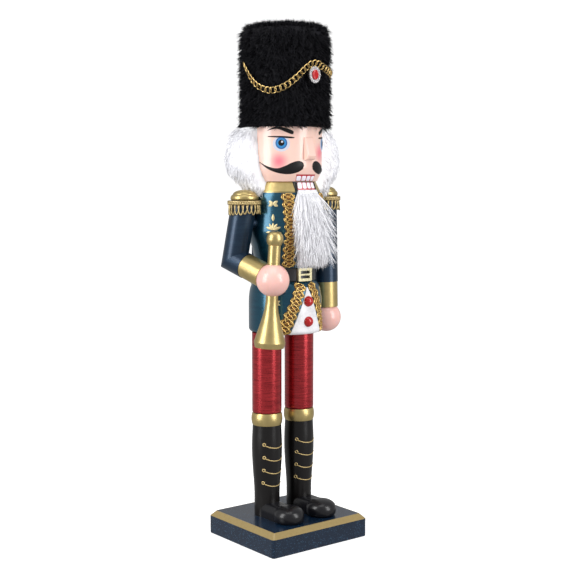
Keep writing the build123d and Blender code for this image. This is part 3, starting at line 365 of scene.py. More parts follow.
def mesh_piece(name, points, faces, look, body="figure", smooth=True, slot=None):
    """A new piece from points and faces, with its material and its body."""
    mesh = bpy.data.meshes.new(name)
    mesh.from_pydata([tuple(p) for p in points], [], faces)
    mesh.validate()
    mesh.update()
    if smooth:
        mesh.polygons.foreach_set("use_smooth", [True] * len(mesh.polygons))
    piece = bpy.data.objects.new(name, mesh)
    bpy.context.scene.collection.objects.link(piece)
    mesh.materials.append(MATERIALS[look])
    if body:
        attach(piece, body)
    return piece


def smooth_path(points, steps):
    """A smooth line of values through the given rows (Catmull-Rom)."""
    rows = np.array(points, dtype=float)
    rows = np.vstack([2 * rows[0] - rows[1], rows, 2 * rows[-1] - rows[-2]])
    out = []
    for i in range(1, len(rows) - 2):
        for t in np.linspace(0, 1, steps, endpoint=False):
            a, b, c, d = rows[i - 1:i + 3]
            out.append(0.5 * (2 * b + (c - a) * t + (2 * a - 5 * b + 4 * c - d) * t * t
                              + (3 * b - a - 3 * c + d) * t ** 3))
    out.append(rows[-2])
    return np.array(out)


class Builder:
    """Collects the points and faces of many small shapes for one piece."""

    def __init__(self):
        self.points = []
        self.faces = []

    def grid(self, rows, close_across=False):
        """Rows of points joined into a sheet."""
        base = len(self.points)
        width = len(rows[0])
        for row in rows:
            self.points.extend(row)
        for i in range(len(rows) - 1):
            for j in range(width if close_across else width - 1):
                a = base + i * width + j
                b = base + i * width + (j + 1) % width
                self.faces.append((a, b, b + width, a + width))
        return base

    def tube(self, path, radius, sides=6, closed=False, up=None):
        """A round cord along a path; up is one direction, or one for each point."""
        path = [Vector(p) for p in path]
        count = len(path)
        rows = []
        for i, p in enumerate(path):
            ahead = path[(i + 1) % count] if closed or i < count - 1 else p
            behind = path[i - 1] if closed or i > 0 else p
            along = (ahead - behind).normalized()
            ref = up[i] if isinstance(up, list) else (up or Vector((0, 0, 1)))
            if abs(along.dot(ref)) > 0.97:
                ref = Vector((1, 0, 0))
            side = along.cross(ref).normalized()
            over = side.cross(along).normalized()
            rows.append([
                p + side * (radius * math.cos(2 * math.pi * k / sides))
                + over * (radius * math.sin(2 * math.pi * k / sides))
                for k in range(sides)
            ])
        if closed:
            rows.append(rows[0])
        base = self.grid(rows, close_across=True)
        if not closed:
            last = base + (count - 1) * sides
            self.faces.append(tuple(range(base + sides - 1, base - 1, -1)))
            self.faces.append(tuple(range(last, last + sides)))

    def piece(self, name, look, **kind):
        return mesh_piece(name, self.points, self.faces, look, **kind)


def stroke(build, face, rows, lift=0.25, steps=7, arc=None):
    """A brush stroke on a turned face: rows of (distance round, height, half width) in mm.

    Distance round is measured from the front towards -X along the face.
    """
    arc = arc or face.radius(rows[0][1] * MM)
    line = smooth_path(rows, steps)
    lines = []
    for i, (s, z, half) in enumerate(line):
        a, b = line[max(i - 1, 0)], line[min(i + 1, len(line) - 1)]
        run = np.array([b[0] - a[0], b[1] - a[1]])
        run = run / (np.linalg.norm(run) or 1)
        across = np.array([-run[1], run[0]])
        row = []
        for t in (-1, -0.6, 0, 0.6, 1):
            ds, dz = across * half * t
            height = 0.05 + lift * (1 - t * t)
            row.append(face.round_at(math.degrees((s + ds) * MM / arc), (z + dz) * MM, height * MM))
        lines.append(row)
    build.grid(lines)


def blob(build, face, s, z, half_s, half_z, lift=0.3, base=0.05, top=None, arc=None, power=2.0):
    """An oval dab of paint; top cuts it off level at that height."""
    arc = arc or face.radius(z * MM)
    rings = []
    for ring in range(5):
        r = 1 - ring / 4
        row = []
        for k in range(32):
            w = 2 * math.pi * k / 32
            cw, sw = math.cos(w), math.sin(w)
            ds = half_s * r * math.copysign(abs(cw) ** (2 / power), cw)
            dz = half_z * r * math.copysign(abs(sw) ** (2 / power), sw)
            zz = z + dz if top is None else min(z + dz, top)
            height = base + lift * (1 - r ** 4)
            row.append(face.round_at(math.degrees((s + ds) * MM / arc), zz * MM, height * MM))
        rings.append(row)
    build.grid([row + [row[0]] for row in rings])


# ---- fur ------------------------------------------------------------------


def strand_piece(name, roots, ways, bends, lengths, width, look, segments=3, body="figure"):
    """Fur as tapered blades: roots, start directions, bend vectors and lengths, one row each."""
    count = len(roots)
    levels = np.linspace(0, 1, segments + 1)
    side = np.cross(ways, rng.normal(size=(count, 3)))
    side /= np.linalg.norm(side, axis=1, keepdims=True) + 1e-9
    per = 2 * segments + 1
    points = np.zeros((count, per, 3))
    for k, t in enumerate(levels):
        spine = roots + ways * (lengths * t)[:, None] + bends * (lengths * t * t)[:, None]
        if k == segments:
            points[:, 2 * k] = spine
        else:
            half = side * (width * (1 - 0.75 * t ** 1.5) / 2)
            points[:, 2 * k] = spine - half
            points[:, 2 * k + 1] = spine + half
    base = np.arange(count) * per
    corners = []
    for k in range(segments):
        if k < segments - 1:
            corners.append(np.stack([base + 2 * k, base + 2 * k + 1, base + 2 * k + 3, base + 2 * k + 2], 1))
        else:
            tips = np.stack([base + 2 * k, base + 2 * k + 1, base + 2 * k + 2], 1)
    quads = np.concatenate([c.reshape(-1) for c in corners])
    loops = np.concatenate([quads, tips.reshape(-1)])
    quad_count = len(quads) // 4
    starts = np.concatenate([np.arange(quad_count) * 4, len(quads) + np.arange(count) * 3])
    totals = np.concatenate([np.full(quad_count, 4), np.full(count, 3)])
    mesh = bpy.data.meshes.new(name)
    mesh.vertices.add(count * per)
    mesh.vertices.foreach_set("co", points.reshape(-1))
    mesh.loops.add(len(loops))
    mesh.loops.foreach_set("vertex_index", loops.astype(np.int32))
    mesh.polygons.add(len(starts))
    mesh.polygons.foreach_set("loop_start", starts.astype(np.int32))
    mesh.polygons.foreach_set("loop_total", totals.astype(np.int32))
    mesh.polygons.foreach_set("use_smooth", np.ones(len(starts), dtype=bool))
    mesh.update(calc_edges=True)
    mesh.validate()
    piece = bpy.data.objects.new(name, mesh)
    bpy.context.scene.collection.objects.link(piece)
    mesh.materials.append(MATERIALS[look])
    if body:
        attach(piece, body)
    return piece


def unit(rows):
    return rows / (np.linalg.norm(rows, axis=1, keepdims=True) + 1e-12)


def clumped(roots, ways, lengths, clumps, pull):
    """Turns each strand's way towards the tip of its nearest clump."""
    picks = rng.choice(len(roots), clumps, replace=False)
    centres = roots[picks]
    tips = centres + ways[picks] * lengths[picks][:, None] * 1.15
    nearest = np.zeros(len(roots), dtype=int)
    for start in range(0, len(roots), 2000):
        block = roots[start:start + 2000]
        gaps = ((block[:, None, :] - centres[None]) ** 2).sum(2)
        nearest[start:start + 2000] = gaps.argmin(1)
    towards = unit(tips[nearest] - roots)
    return unit(ways * (1 - pull) + towards * pull)


def revolve_rows(profile, steps):
    """Rows of points round the body's axis for a list of (radius, z) in metres."""
    rows = []
    for r, z in profile:
        rows.append([BODY + outward(a) * r + Vector((0, 0, z)) for a in np.linspace(0.0, 360.0, steps)])
    return rows


# ---- hat ------------------------------------------------------------------
HAT_LOW, HAT_TOP = low("hat_fur").z, high("hat_fur").z
HAT_R = (high("hat_fur").x - low("hat_fur").x) / 2
PILE = 3.0 * MM
CROWN = 3.5 * MM                      # height of the rounded edge of the hat's top


def hat_radius(z):
    """The hide's radius under the fur at this height."""
    drop = max(0.0, z - (HAT_TOP - 14 * MM)) / (14 * MM)
    return (HAT_R - PILE) * math.sqrt(max(0.0, 1 - 0.05 * drop ** 3))


def make_hat():
    build = Builder()
    hide_top = HAT_TOP - 2.5 * MM
    profile = [(HAT_R - PILE - 2 * MM, HAT_LOW + 1 * MM)]
    profile += [(hat_radius(z), z) for z in np.linspace(HAT_LOW + 1 * MM, hide_top - CROWN, 24)]
    rim = profile[-1][0]
    for t in np.linspace(0.2, math.pi / 2, 8):
        profile.append((rim * math.cos(t), hide_top - CROWN + CROWN * math.sin(t)))
    build.grid(revolve_rows(profile, 97))
    hide = build.piece("hat_hide", "black_fur")

    count = 27000
    angles = rng.uniform(0, 2 * math.pi, count)
    on_top = rng.uniform(size=count) < 0.22
    zs = rng.uniform(HAT_LOW + 1.0 * MM, hide_top - 3 * MM, count)
    spread = np.sqrt(rng.uniform(0, 1, count)) * rim
    radii = np.array([hat_radius(z) for z in zs])
    radii[on_top] = spread[on_top]
    dome = hide_top - CROWN + CROWN * np.sqrt(np.clip(1 - (spread / rim) ** 2, 0, 1))
    zs[on_top] = dome[on_top]
    level = np.stack([-np.sin(angles), -np.cos(angles), np.zeros(count)], 1)
    roots = np.array(BODY)[None] + level * (radii * 0.985)[:, None] + np.stack([0 * zs, 0 * zs, zs], 1)
    normals = level.copy()
    normals[on_top] = unit(level[on_top] * (0.25 + 0.9 * (spread[on_top, None] / rim) ** 3)
                           + np.array([[0, 0, 1.0]]))
    fall = np.where(on_top, 0.0, -0.55)[:, None] * np.array([[0, 0, 1.0]])
    ways = unit(normals + fall + rng.normal(scale=0.34, size=(count, 3)))
    lengths = rng.uniform(3.6, 6.6, count) * MM
    lengths[on_top] *= 0.75
    # the fur at the lower rim is combed up off the brow
    near_rim = np.clip((zs - HAT_LOW) / (7 * MM), 0.0, 1.0)
    ways[:, 2] += 0.40 * (1 - near_rim)
    ways = unit(ways)
    ways = clumped(roots, ways, lengths, 1500, 0.55)
    bends = rng.normal(scale=0.18, size=(count, 3))
    bends[:, 2] -= np.where(on_top, 0.0, 0.25 * near_rim)
    strand_piece("hat_strands", roots, ways, bends, lengths, 0.55 * MM, "black_fur")
    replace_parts(hide, "hat_fur")


make_hat()


# ---- hat chain and badge --------------------------------------------------
CHAIN_SWAGS = (
    (-112, 20), (-92, 14.5), (-70, 12), (-40, 14), (-19, 16.5), (-5, 19.3), (5, 18.6), (14, 14.5), (24, 8.8),
    (38, 2.8), (54, 0), (70, 2.4), (82, 7.8), (92, 14.5), (102, 21.5),
)                                    # angle and height above the chain's lowest point


def chain_line():
    """The chain's centre line: the swags of the CAD wire, on the outside of the fur."""
    low_z = low("hat_chain").z + 1.5 * MM
    points = []
    for angle, rise in smooth_path(CHAIN_SWAGS, 24):
        points.append(BODY + outward(angle) * (HAT_R + 0.6 * MM) + Vector((0, 0, low_z + rise * MM)))
    return points


def link_rows(line, pitch):
    """Even stations along a line, with their directions."""
    gaps = [0.0]
    for a, b in zip(line, line[1:]):
        gaps.append(gaps[-1] + (b - a).length)
    gaps = np.array(gaps)
    table = np.array(line)
    count = int(gaps[-1] / pitch)
    stations = np.linspace(0, gaps[-1], count + 1)
    spots = np.stack([np.interp(stations, gaps, table[:, k]) for k in range(3)], 1)
    return [Vector(p) for p in spots]


def make_chain():
    build = Builder()
    spots = link_rows(chain_line(), 3.7 * MM)
    for i in range(1, len(spots) - 1):
        along = (spots[i + 1] - spots[i - 1]).normalized()
        out = (spots[i] - Vector((BODY.x, BODY.y, spots[i].z))).normalized()
        side = along.cross(out).normalized()
        out = side.cross(along)
        tilt = math.radians(26)
        across = side * math.cos(tilt) + out * math.sin(tilt)
        ring = []
        for k in range(18):
            w = 2 * math.pi * k / 18
            ring.append(spots[i] + along * (2.5 * MM * math.cos(w)) + across * (2.3 * MM * math.sin(w)))
        build.tube(ring, 0.42 * MM, sides=6, closed=True, up=along.cross(across).normalized())
    chain = build.piece("hat_chain_links", "chain_gold")
    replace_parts(chain, "hat_chain")


make_chain()


def make_badge_stones():
    """A ring of small stones round the badge's gem."""
    build = Builder()
    centre = mid("hat_badge")
    front = low("hat_badge").y
    half_w = (high("hat_badge").x - low("hat_badge").x) / 2 - 0.75 * MM
    half_h = (high("hat_badge").z - low("hat_badge").z) / 2 - 0.75 * MM
    for k in range(12):
        w = 2 * math.pi * k / 12
        spot = Vector((centre.x + half_w * 1.02 * math.cos(w), front, centre.z + half_h * 1.02 * math.sin(w)))
        rows = []
        for r, out in ((0.85, -0.4), (0.85, 0.0), (0.5, 0.5), (0.0, 0.65)):
            rows.append([
                spot + Vector((r * MM * math.cos(t), -out * MM, r * MM * math.sin(t)))
                for t in np.linspace(0, 2 * math.pi, 9)
            ])
        build.grid(rows)
    build.piece("badge_stones", "rhinestone", smooth=False, slot="badge_silver")


make_badge_stones()

# ---- hair and beard -------------------------------------------------------
HAIR_LOW, HAIR_TOP = low("hair").z, low("hat_fur").z + 1.0 * MM
HEAD_R = head.radius(0.29)
HAIR_START, HAIR_END = 85.0, 286.0
HAIR_FORWARD = 13.0                  # degrees that the hair comes forward at its foot


def hair_depth(angle, t):
    """Thickness of the hair in metres at this angle; t runs from its foot to its top."""
    forward = HAIR_FORWARD * (1 - t) ** 2
    edge = min(angle - HAIR_START + forward, HAIR_END + forward - angle)
    open_up = math.sin(min(max(edge, 0.0) / 20.0, 1.0) * math.pi / 2) ** 0.6
    back = math.sin(min(max(edge - 24.0, 0.0) / 45.0, 1.0) * math.pi / 2)
    depth = (18.0 if angle < 180 else 21.5) * (1 - back) + 10.0 * back
    peak = 0.42 if angle < 180 else 0.58
    if t < peak:
        bulge = math.sin(t / peak * math.pi / 2) ** 0.42
    else:
        bulge = math.cos((t - peak) / (1 - peak) * math.pi / 2) ** 0.45 * 0.9 + 0.1
    return depth * open_up * (0.22 + 0.78 * bulge) * MM


def hair_point(angle, t):
    lift = 1.0 * math.sin(4.1 * math.radians(angle) + 6 * t) * math.sin(9 * math.radians(angle)) * MM
    depth = hair_depth(angle, t)
    sunk = 1.2 * MM * max(0.0, 1 - depth / (1.5 * MM))
    z = HAIR_LOW + t * (HAIR_TOP - HAIR_LOW)
    reach = head.radius(z) + depth - sunk + lift * min(1.0, depth / (8 * MM))
    return BODY + outward(angle) * reach + Vector((0, 0, z))


def make_hair():
    build = Builder()
    span = np.linspace(HAIR_START - HAIR_FORWARD, HAIR_END + HAIR_FORWARD, 130)
    rows = [[hair_point(a, t) for a in span] for t in np.linspace(0, 1, 30)]
    build.grid(rows)
    inner = []
    for row in (rows[0], rows[-1]):
        under = head.radius(row[0].z) - 2 * MM
        inner.append([BODY + outward(a) * under + Vector((0, 0, row[0].z)) for a in span])
    build.grid([inner[0], rows[0]])
    build.grid([rows[-1], inner[1]])
    mass = build.piece("hair_mass", "white_fur")

    count = 32000
    sides = rng.uniform(size=count) < 0.72
    angles = np.where(
        sides, np.where(rng.uniform(size=count) < 0.5, rng.uniform(HAIR_START - 10, 125, count),
                        rng.uniform(235, HAIR_END + 10, count)),
        rng.uniform(120, 240, count),
    )
    ts = rng.uniform(0.0, 1.0, count)
    roots = np.array([hair_point(a, t) for a, t in zip(angles, ts)])
    step = np.array([hair_point(a + 1.5, t) for a, t in zip(angles, ts)]) - roots
    rise = np.array([hair_point(a, min(t + 0.03, 1.0)) for a, t in zip(angles, ts)]) - np.array(
        [hair_point(a, max(t - 0.03, 0.0)) for a, t in zip(angles, ts)])
    normals = -unit(np.cross(step, rise))
    level = np.stack([-np.sin(np.radians(angles)), -np.cos(np.radians(angles)), 0 * angles], 1)
    flip = (normals * level).sum(1) < -0.2
    normals[flip] *= -1
    down = -unit(rise)
    thin = np.array([hair_depth(a, t) for a, t in zip(angles, ts)]) < 1.5 * MM
    roots, normals, down, angles = roots[~thin], normals[~thin], down[~thin], angles[~thin]
    count = len(roots)
    ways = unit(normals * 0.36 + down * 0.90 + rng.normal(scale=0.13, size=(count, 3)))
    roots = roots - normals * 1.5 * MM
    lengths = rng.uniform(6.0, 10.5, count) * MM
    # behind, the hair ends above the lever, which swings out under it
    behind = np.abs(angles - 180) < 42
    least = 0.5 * MM
    room = np.maximum(roots[behind, 2] - HAIR_LOW - 2 * MM, least)
    lengths[behind] = np.clip(lengths[behind], least, room)
    ways = clumped(roots, ways, lengths, 1400, 0.20)
    bends = -normals * 0.35 + rng.normal(scale=0.12, size=(count, 3))
    strand_piece("hair_strands", roots, ways, bends, lengths, 0.50 * MM, "white_fur")
    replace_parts(mass, "hair")


make_hair()

BEARD_TOP, BEARD_END = high("beard").z, low("beard").z


def beard_half(t):
    """Half width of the beard in metres; t runs from its top to its end."""
    return float(np.interp(t, [0, 0.12, 0.5, 0.78, 0.93, 1.0], [8.0, 9.2, 10.0, 9.2, 6.0, 0.8])) * MM


def beard_depth(t):
    return float(np.interp(t, [0, 0.1, 0.45, 0.8, 1.0], [2.2, 4.0, 6.4, 5.2, 0.6])) * MM


def beard_centre(t):
    """The hanging line down the front of the jaw and the chest."""
    z = BEARD_TOP + (BEARD_END + 7 * MM - BEARD_TOP) * t
    x = (3.2 * t * t - 1.2) * MM
    y = np.interp(z, chest.zs, BODY.y - chest.radii) - 1.2 * MM if z < 0.235 else jaw_face(z) - 0.3 * MM
    return Vector((x, y, z))


def jaw_face(z):
    return BODY.y - jaw.radius(z)


def make_beard():
    build = Builder()
    rows = []
    for t in np.linspace(0, 1, 26):
        c, half, depth = beard_centre(t), beard_half(t), beard_depth(t)
        row = []
        for k in range(24):
            w = 2 * math.pi * k / 24
            row.append(c + Vector((half * math.cos(w), -depth * (0.5 + 0.5 * math.sin(w)), 0)))
        rows.append(row)
    build.grid(rows, close_across=True)
    build.faces.append(tuple(range(23, -1, -1)))
    build.faces.append(tuple(range(25 * 24, 26 * 24)))
    mass = build.piece("beard_mass", "white_fur", body=None)

    count = 9000
    ts = rng.uniform(-0.02, 0.90, count)
    ws = rng.uniform(-0.25, math.pi + 0.25, count)
    roots = np.zeros((count, 3))
    level = np.zeros((count, 3))
    for i, (t, w) in enumerate(zip(np.clip(ts, 0, 1), ws)):
        c = beard_centre(t)
        roots[i] = c + Vector((beard_half(t) * math.cos(w), -beard_depth(t) * (0.5 + 0.5 * math.sin(w)), 0))
        level[i] = (0.7 * math.cos(w), -math.sin(w), 0)
    ways = unit(level * 0.30 + np.array([[0.02, 0, -1.0]]) + rng.normal(scale=0.10, size=(count, 3)))
    left = 1 - np.clip(ts, 0, 1)
    lengths = np.minimum(rng.uniform(13, 22, count), 8 + 55 * left) * MM
    ways = clumped(roots, ways, lengths, 260, 0.25)
    bends = -level * 0.16 + rng.normal(scale=0.07, size=(count, 3))
    # loose wisps on its left side
    loose = (ws < 0.5) & (ts > 0.05) & (rng.uniform(size=count) < 0.10)
    aside = np.array([[0.62, -0.30, 0.10]]) * rng.uniform(0.4, 1.0, (loose.sum(), 1))
    ways[loose] = unit(ways[loose] + aside)
    lengths[loose] *= 1.25
    strands = strand_piece(
        "beard_strands", roots, ways, bends, lengths, 0.55 * MM, "white_fur", segments=5, body=None,
    )
    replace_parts(mass, "beard")
    for piece in (mass, strands):
        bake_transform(piece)


make_beard()


# ---- braids ---------------------------------------------------------------
CORDS = ((0, 1.0), (1, 1.0), (0, 0.76), (1, 0.76), (0.5, 0.62), (1.5, 0.62))    # phase and reach
DIAMOND = ((1, 0), (0.5, 0.5), (0, 1), (-0.5, 0.5), (-1, 0), (-0.5, -0.5), (0, -1), (0.5, -0.5))


def braid(name, node, face, top, foot, half, pitch):
    """Scrolled cord braid: cords that cross in a chain of open eyes, on a dark ground.

    top and foot are (x, z) of the centre line in metres.
    """
    build, amber, ground = Builder(), Builder(), Builder()
    top, foot = np.array(top), np.array(foot)
    run = foot - top
    length = np.linalg.norm(run)
    run = run / length
    across = np.array([-run[1], run[0]])
    eyes = round(length / (pitch * MM))
    steps = eyes * 22
    for phase, inset in CORDS:
        path, ups = [], []
        for i in range(steps + 1):
            t = i / steps
            w = math.pi * (eyes * t + phase)
            swell = math.copysign(abs(math.sin(w)) ** 0.8, math.sin(w))
            spot = top + run * length * t + across * (swell * inset * (half * MM - 0.35 * MM))
            path.append(face.front_at(spot[0], spot[1], 0.50 * MM + 0.24 * MM * math.cos(w)))
            ups.append(Vector((path[-1].x - BODY.x, path[-1].y - BODY.y, 0)).normalized())
        build.tube(path, 0.36 * MM, sides=5, up=ups)
    for k in range(eyes):
        middle = top + run * length * (k + 0.5) / eyes
        rows = []
        for size, lift in ((1.0, 0.25), (0.6, 0.6), (0.0, 0.7)):
            row = []
            for u, v in DIAMOND:
                spot = middle + run * (pitch * 0.27 * size * u * MM) + across * (1.25 * size * v * MM)
                row.append(face.front_at(*spot, lift * MM))
            rows.append(row)
        amber.grid(rows, close_across=True)
    rows = []
    for i in range(steps + 1):
        w = math.pi * eyes * i / steps
        spot = top + run * length * i / steps
        reach = (0.72 + 0.22 * abs(math.sin(w))) * half * MM
        rows.append([face.front_at(*(spot + across * t * reach), 0.22 * MM) for t in np.linspace(-1, 1, 7)])
    ground.grid(rows)
    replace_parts(build.piece(name, "braid_gold"), node)
    amber.piece(name + "_eyes", "braid_amber", slot="braid_gold")
    ground.piece(name + "_ground", "braid_ground", slot="braid_gold")


CHEST_TOP, CHEST_LOW = high("chest").z, low("chest").z
SKIRT_TOP, HEM = high("skirt").z, low("skirt").z
for side, hand in ((1, "left"), (-1, "right")):
    braid(
        "chest_braid_cords_" + hand, "chest_braid_" + hand, chest,
        (side * 15.4 * MM, CHEST_TOP - 0.5 * MM), (side * 11.4 * MM, CHEST_LOW + 0.5 * MM), 4.4, 5.6,
    )
    braid(
        "skirt_braid_cords_" + hand, "skirt_braid_" + hand, skirt,
        (side * 4.6 * MM, SKIRT_TOP - 1.2 * MM), (side * 18.6 * MM, HEM + 1.0 * MM), 4.4, 5.6,
    )


# ---- shoulder fringes -----------------------------------------------------
def fringe(hand):
    """Loops of twisted gold cord hanging under a shoulder cap, with a scrolled heading."""
    node = "fringe_" + hand
    centre = mid("epaulette_" + hand)
    top, foot = high(node).z, low(node).z
    reach = 11.0 * MM
    build = Builder()
    loops = 22
    for k in range(loops):
        a0 = 360.0 * k / loops
        path, ups = [], []
        hang = rng.uniform(0.78, 1.0)
        lean = rng.uniform(-3.0, 3.0)
        for w in np.linspace(0, 1, 19):
            angle = a0 + 360.0 / loops * (w - 0.5) * 1.3 + lean * math.sin(w * math.pi)
            drop = math.sin(w * math.pi) ** 0.5 * hang
            out = reach + rng.uniform(-0.1, 0.1) * MM + 0.5 * MM * drop * math.sin(k * 2.4)
            path.append(Vector((centre.x, centre.y, 0)) + outward(angle) * out
                        + Vector((0, 0, top - 2.0 * MM - drop * (top - foot - 1.4 * MM))))
            ups.append(outward(angle))
        build.tube(path, 0.48 * MM, sides=6, up=ups)
    for phase in (0.0, math.pi):
        path, ups = [], []
        for k in range(loops * 10):
            angle = 360.0 * k / (loops * 10)
            w = math.pi * k / 10 * 2 + phase
            path.append(Vector((centre.x, centre.y, 0)) + outward(angle) * (reach + 0.6 * MM)
                        + Vector((0, 0, top - 1.6 * MM + 1.1 * MM * math.sin(w))))
            ups.append(outward(angle))
        build.tube(path, 0.62 * MM, sides=6, closed=True, up=ups)
    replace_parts(build.piece("fringe_cords_" + hand, "fringe_gold"), node)


fringe("right")
fringe("left")

# ---- face -----------------------------------------------------------------
EYE_S, EYE_Z = 20.7, 293.2
LID_Z = 297.3


def make_face():
    whites, irises, rims, pupils, glints, ink = (Builder() for _ in range(6))
    for side in (1, -1):
        s = side * EYE_S
        blob(whites, head, s, EYE_Z - 0.4, 6.2, 5.6, lift=0.08, top=LID_Z, arc=HEAD_R)
        blob(rims, head, s, EYE_Z, 4.25, 4.25, lift=0.10, base=0.14, top=LID_Z, arc=HEAD_R)
        blob(irises, head, s, EYE_Z, 3.5, 3.5, lift=0.10, base=0.26, top=LID_Z, arc=HEAD_R)
        blob(pupils, head, s, EYE_Z + 0.2, 2.2, 2.2, lift=0.12, base=0.36, arc=HEAD_R)
        blob(glints, head, s - 0.6, EYE_Z + 0.9, 0.75, 0.75, lift=0.12, base=0.50, arc=HEAD_R)
        stroke(ink, head, [
            (side * 11.4, 297.1, 0.3), (side * 14.0, 297.2, 0.62), (side * 21.5, 297.6, 0.66),
            (side * 30.8, 297.9, 0.3),
        ], lift=0.18, arc=HEAD_R)
        stroke(ink, head, [
            (side * 12.0, 300.4, 0.9), (side * 13.2, 300.8, 1.35), (side * 17.0, 302.3, 1.4),
            (side * 22.5, 303.9, 0.9), (side * 27.0, 303.6, 0.6), (side * 31.0, 302.2, 0.15),
        ], lift=0.2, arc=HEAD_R)
        stroke(ink, head, [
            (side * 3.9, 277.2, 0.2), (side * 4.8, 277.2, 2.4), (side * 7.8, 276.9, 3.8),
            (side * 12.5, 275.4, 3.9), (side * 17.5, 274.1, 3.0), (side * 24.0, 273.8, 1.6),
            (side * 31.0, 275.8, 0.9), (side * 38.4, 280.0, 0.1),
        ], lift=0.5, arc=HEAD_R)
    whites.piece("eye_whites", "eye_white", slot="skin")
    rims.piece("eye_rims", "iris_dark", slot="skin")
    irises.piece("eye_irises", "iris_blue", slot="skin")
    pupils.piece("eye_pupils", "ink_black", slot="skin")
    glints.piece("eye_glints", "eye_white", slot="skin")
    ink.piece("face_ink", "ink_black", slot="skin")


make_face()


def teeth(name, face, foot, top, body, lip_low):
    """Four painted teeth with red between them, on a red ground; on the lower jaw, black strips down both
    sides are painted shade of the gap in the slot.
    """
    ground, white, edge = Builder(), Builder(), Builder()
    arc = face.radius((foot + top) / 2 * MM)
    half = 7.9 if lip_low else 8.4
    rows = []
    for z in np.linspace(foot - (1.6 if lip_low else 0.0), top + (0.0 if lip_low else 1.0), 8):
        rows.append([
            face.round_at(math.degrees(s * MM / arc), z * MM, 0.06 * MM) for s in np.linspace(-half, half, 17)
        ])
    ground.grid(rows)
    for k in range(4):
        s = (k - 1.5) * half / 2
        blob(white, face, s, (foot + top) / 2, half / 4 - 0.35, (top - foot) / 2 - 0.1, lift=0.25, base=0.12,
             arc=arc, power=5.0)
    if lip_low:
        # painted shade: black strips down both sides of the jaw's front stand in for the dark gap of the slot
        # beside it
        for side in (-1, 1):
            stroke(edge, face, [(side * 8.5, foot - 1.6, 0.85), (side * 8.5, top, 0.85)], lift=0.2, arc=arc)
        # the strips of painted slot shade, as their own piece in ink black
        edge.piece(name + "_edges", "ink_black", body=body, slot="jaw_paint")
    ground.piece(name + "_gums", "lip_red", body=body, slot="skin" if body == "figure" else "jaw_paint")
    white.piece(name, "tooth_white", body=body, slot="skin" if body == "figure" else "jaw_paint")


JAW_TOP = high("jaw_lever").z / MM
teeth("upper_teeth", head, 266.3, 270.0, "figure", False)
teeth("lower_teeth", jaw, JAW_TOP - 4.8, JAW_TOP - 0.3, "jaw", True)


# ---- laces and painted sprigs ---------------------------------------------
def make_laces():
    build = Builder()
    for hand in ("right", "left"):
        node = "boot_" + hand
        boot = Turned(node, angle=180, axis=mid(node))
        for z in (72.4, 62.7, 53.0, 43.3):
            stroke(build, boot, [
                (8.2, z - 0.9, 0.34), (4.5, z - 2.2, 0.36), (0.0, z - 2.9, 0.36), (-4.5, z - 2.7, 0.34),
                (-9.5, z - 1.2, 0.2),
            ], lift=0.3, arc=boot.radius(z * MM))
            around = np.linspace(0, 2 * math.pi, 10)
            ring = [(9.3 + 1.0 * math.cos(w), z + 1.0 * math.sin(w), 0.36) for w in around]
            stroke(build, boot, ring, lift=0.3, steps=3, arc=boot.radius(z * MM))
    build.piece("boot_laces", "lace_gold", slot="gold_paint")


make_laces()


def leaf(build, face, s, z, angle, length, half, arc):
    """One tapered brush leaf from (s, z), pointing angle degrees round from straight up."""
    ds, dz = math.sin(math.radians(angle)), math.cos(math.radians(angle))
    rows = [(s + ds * length * t, z + dz * length * t, half * w)
            for t, w in ((0, 0.15), (0.25, 0.8), (0.55, 1.0), (0.85, 0.55), (1.0, 0.05))]
    stroke(build, face, rows, lift=0.15, steps=4, arc=arc)


def make_sprigs():
    build, dots = Builder(), Builder()
    arc = chest.radius(0.235)
    for side in (1, -1):
        s = side * 27.2
        for angle in (-115, -60, 60, 115):
            leaf(build, chest, s, 250.0, angle, 4.0, 1.1, arc)
        leaf(build, chest, s, 237.5, 0, 5.2, 1.1, arc)
        for angle, length in ((-68, 6.2), (-34, 5.6), (0, 5.4), (34, 5.6), (68, 6.2)):
            leaf(build, chest, s, 231.2, angle, length, 0.95, arc)
        for angle in (-90, 90):
            leaf(build, chest, s + (1 if angle > 0 else -1) * 1.2, 229.4, angle, 4.6, 0.8, arc)
        for angle in (-150, 150, 180):
            leaf(build, chest, s, 226.5, angle, 5.0, 0.8, arc)
        blob(dots, chest, s, 229.4, 0.8, 0.8, lift=0.25, arc=arc)
        skirt_s = side * 24.5
        for angle in (0, 60, 120, 180, 240, 300):
            leaf(build, skirt, skirt_s, 178.5, angle, 3.4, 0.8, skirt.radius(0.17))
    build.piece("coat_sprigs", "sprig_gold", slot="gold_paint")
    dots.piece("sprig_dots", "lip_red", slot="gold_paint")


make_sprigs()


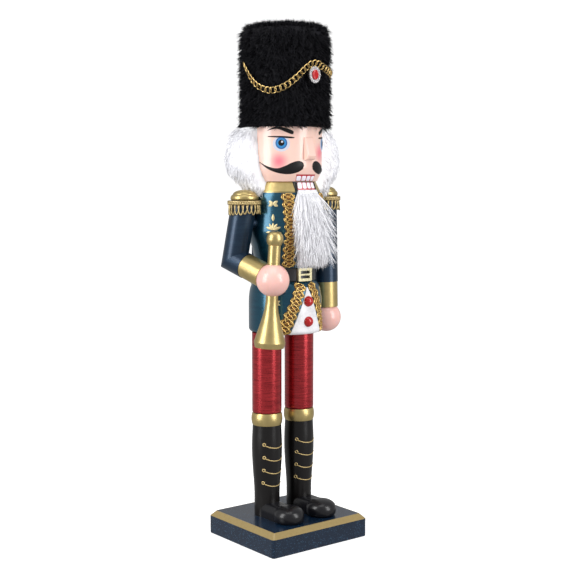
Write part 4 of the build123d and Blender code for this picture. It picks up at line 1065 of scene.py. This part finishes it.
# ---- stage, light and camera ----------------------------------------------
def make_stage():
    size = 6.0
    build = Builder()
    profile = [(-size, 0.0), (2.0, 0.0)]
    profile += [(2.0 + math.sin(t), 1 - math.cos(t)) for t in np.linspace(0.1, math.pi / 2, 14)]
    profile += [(3.0, size)]
    turn = Matrix.Rotation(math.radians(-38), 4, "Z")
    build.grid([[turn @ Vector((x, y, z - 0.0002)) for x in (-size, size)] for y, z in profile])
    mesh = bpy.data.meshes.new("floor")
    mesh.from_pydata([tuple(p) for p in build.points], [], build.faces)
    floor = bpy.data.objects.new("floor", mesh)
    bpy.context.scene.collection.objects.link(floor)
    paper = material("floor_white", (0.9, 0.9, 0.9), rough=0.9, specular=0.05)
    shader_of(paper).inputs["Emission Color"].default_value = (1, 1, 1, 1)
    shader_of(paper).inputs["Emission Strength"].default_value = 0.62
    mesh.materials.append(paper)
    floor.visible_glossy = False
    floor.visible_diffuse = False


make_stage()


def area_light(name, place, aim, size, power, tall=None):
    data = bpy.data.lights.new(name, "AREA")
    data.shape = "RECTANGLE"
    data.size = size
    data.size_y = tall or size
    data.energy = power
    lamp = bpy.data.objects.new(name, data)
    bpy.context.scene.collection.objects.link(lamp)
    lamp.location = place
    lamp.rotation_euler = (Vector(aim) - Vector(place)).to_track_quat("-Z", "Y").to_euler()


CAMERA_TURN, CAMERA_RISE, CAMERA_REACH = -38.0, 5.475, 0.8553
turn, rise = math.radians(CAMERA_TURN), math.radians(CAMERA_RISE)
back = Vector((math.sin(turn) * math.cos(rise), -math.cos(turn) * math.cos(rise), math.sin(rise)))
right = Vector((math.cos(turn), math.sin(turn), 0))
target = Vector((1.42 * MM, 1.30 * MM, 187.0 * MM))
centre = Vector((0, 0, 0.2))
area_light("soft_left", centre + back * 0.62 - right * 0.95 + Vector((0, 0, 0.30)), centre, 0.55, 12.5, 1.2)
area_light("soft_right", centre + back * 0.62 + right * 0.95 + Vector((0, 0, 0.30)), centre, 0.5, 10.5, 1.2)
area_light("soft_top", centre + back * 0.35 + Vector((0, 0, 1.3)), centre, 0.9, 4)

world = bpy.data.worlds.new("studio")
bpy.context.scene.world = world
world.use_nodes = True
world.node_tree.nodes["Background"].inputs[0].default_value = (1, 1, 1, 1)
world.node_tree.nodes["Background"].inputs[1].default_value = 0.44

camera_data = bpy.data.cameras.new("camera")
camera = bpy.data.objects.new("camera", camera_data)
bpy.context.scene.collection.objects.link(camera)
camera_data.lens = 71.875
camera_data.sensor_width = 36.0
camera.location = target + back * CAMERA_REACH
camera.rotation_euler = (-back).to_track_quat("-Z", "Y").to_euler()
bpy.context.scene.camera = camera
bpy.context.scene.view_settings.view_transform = "Standard"
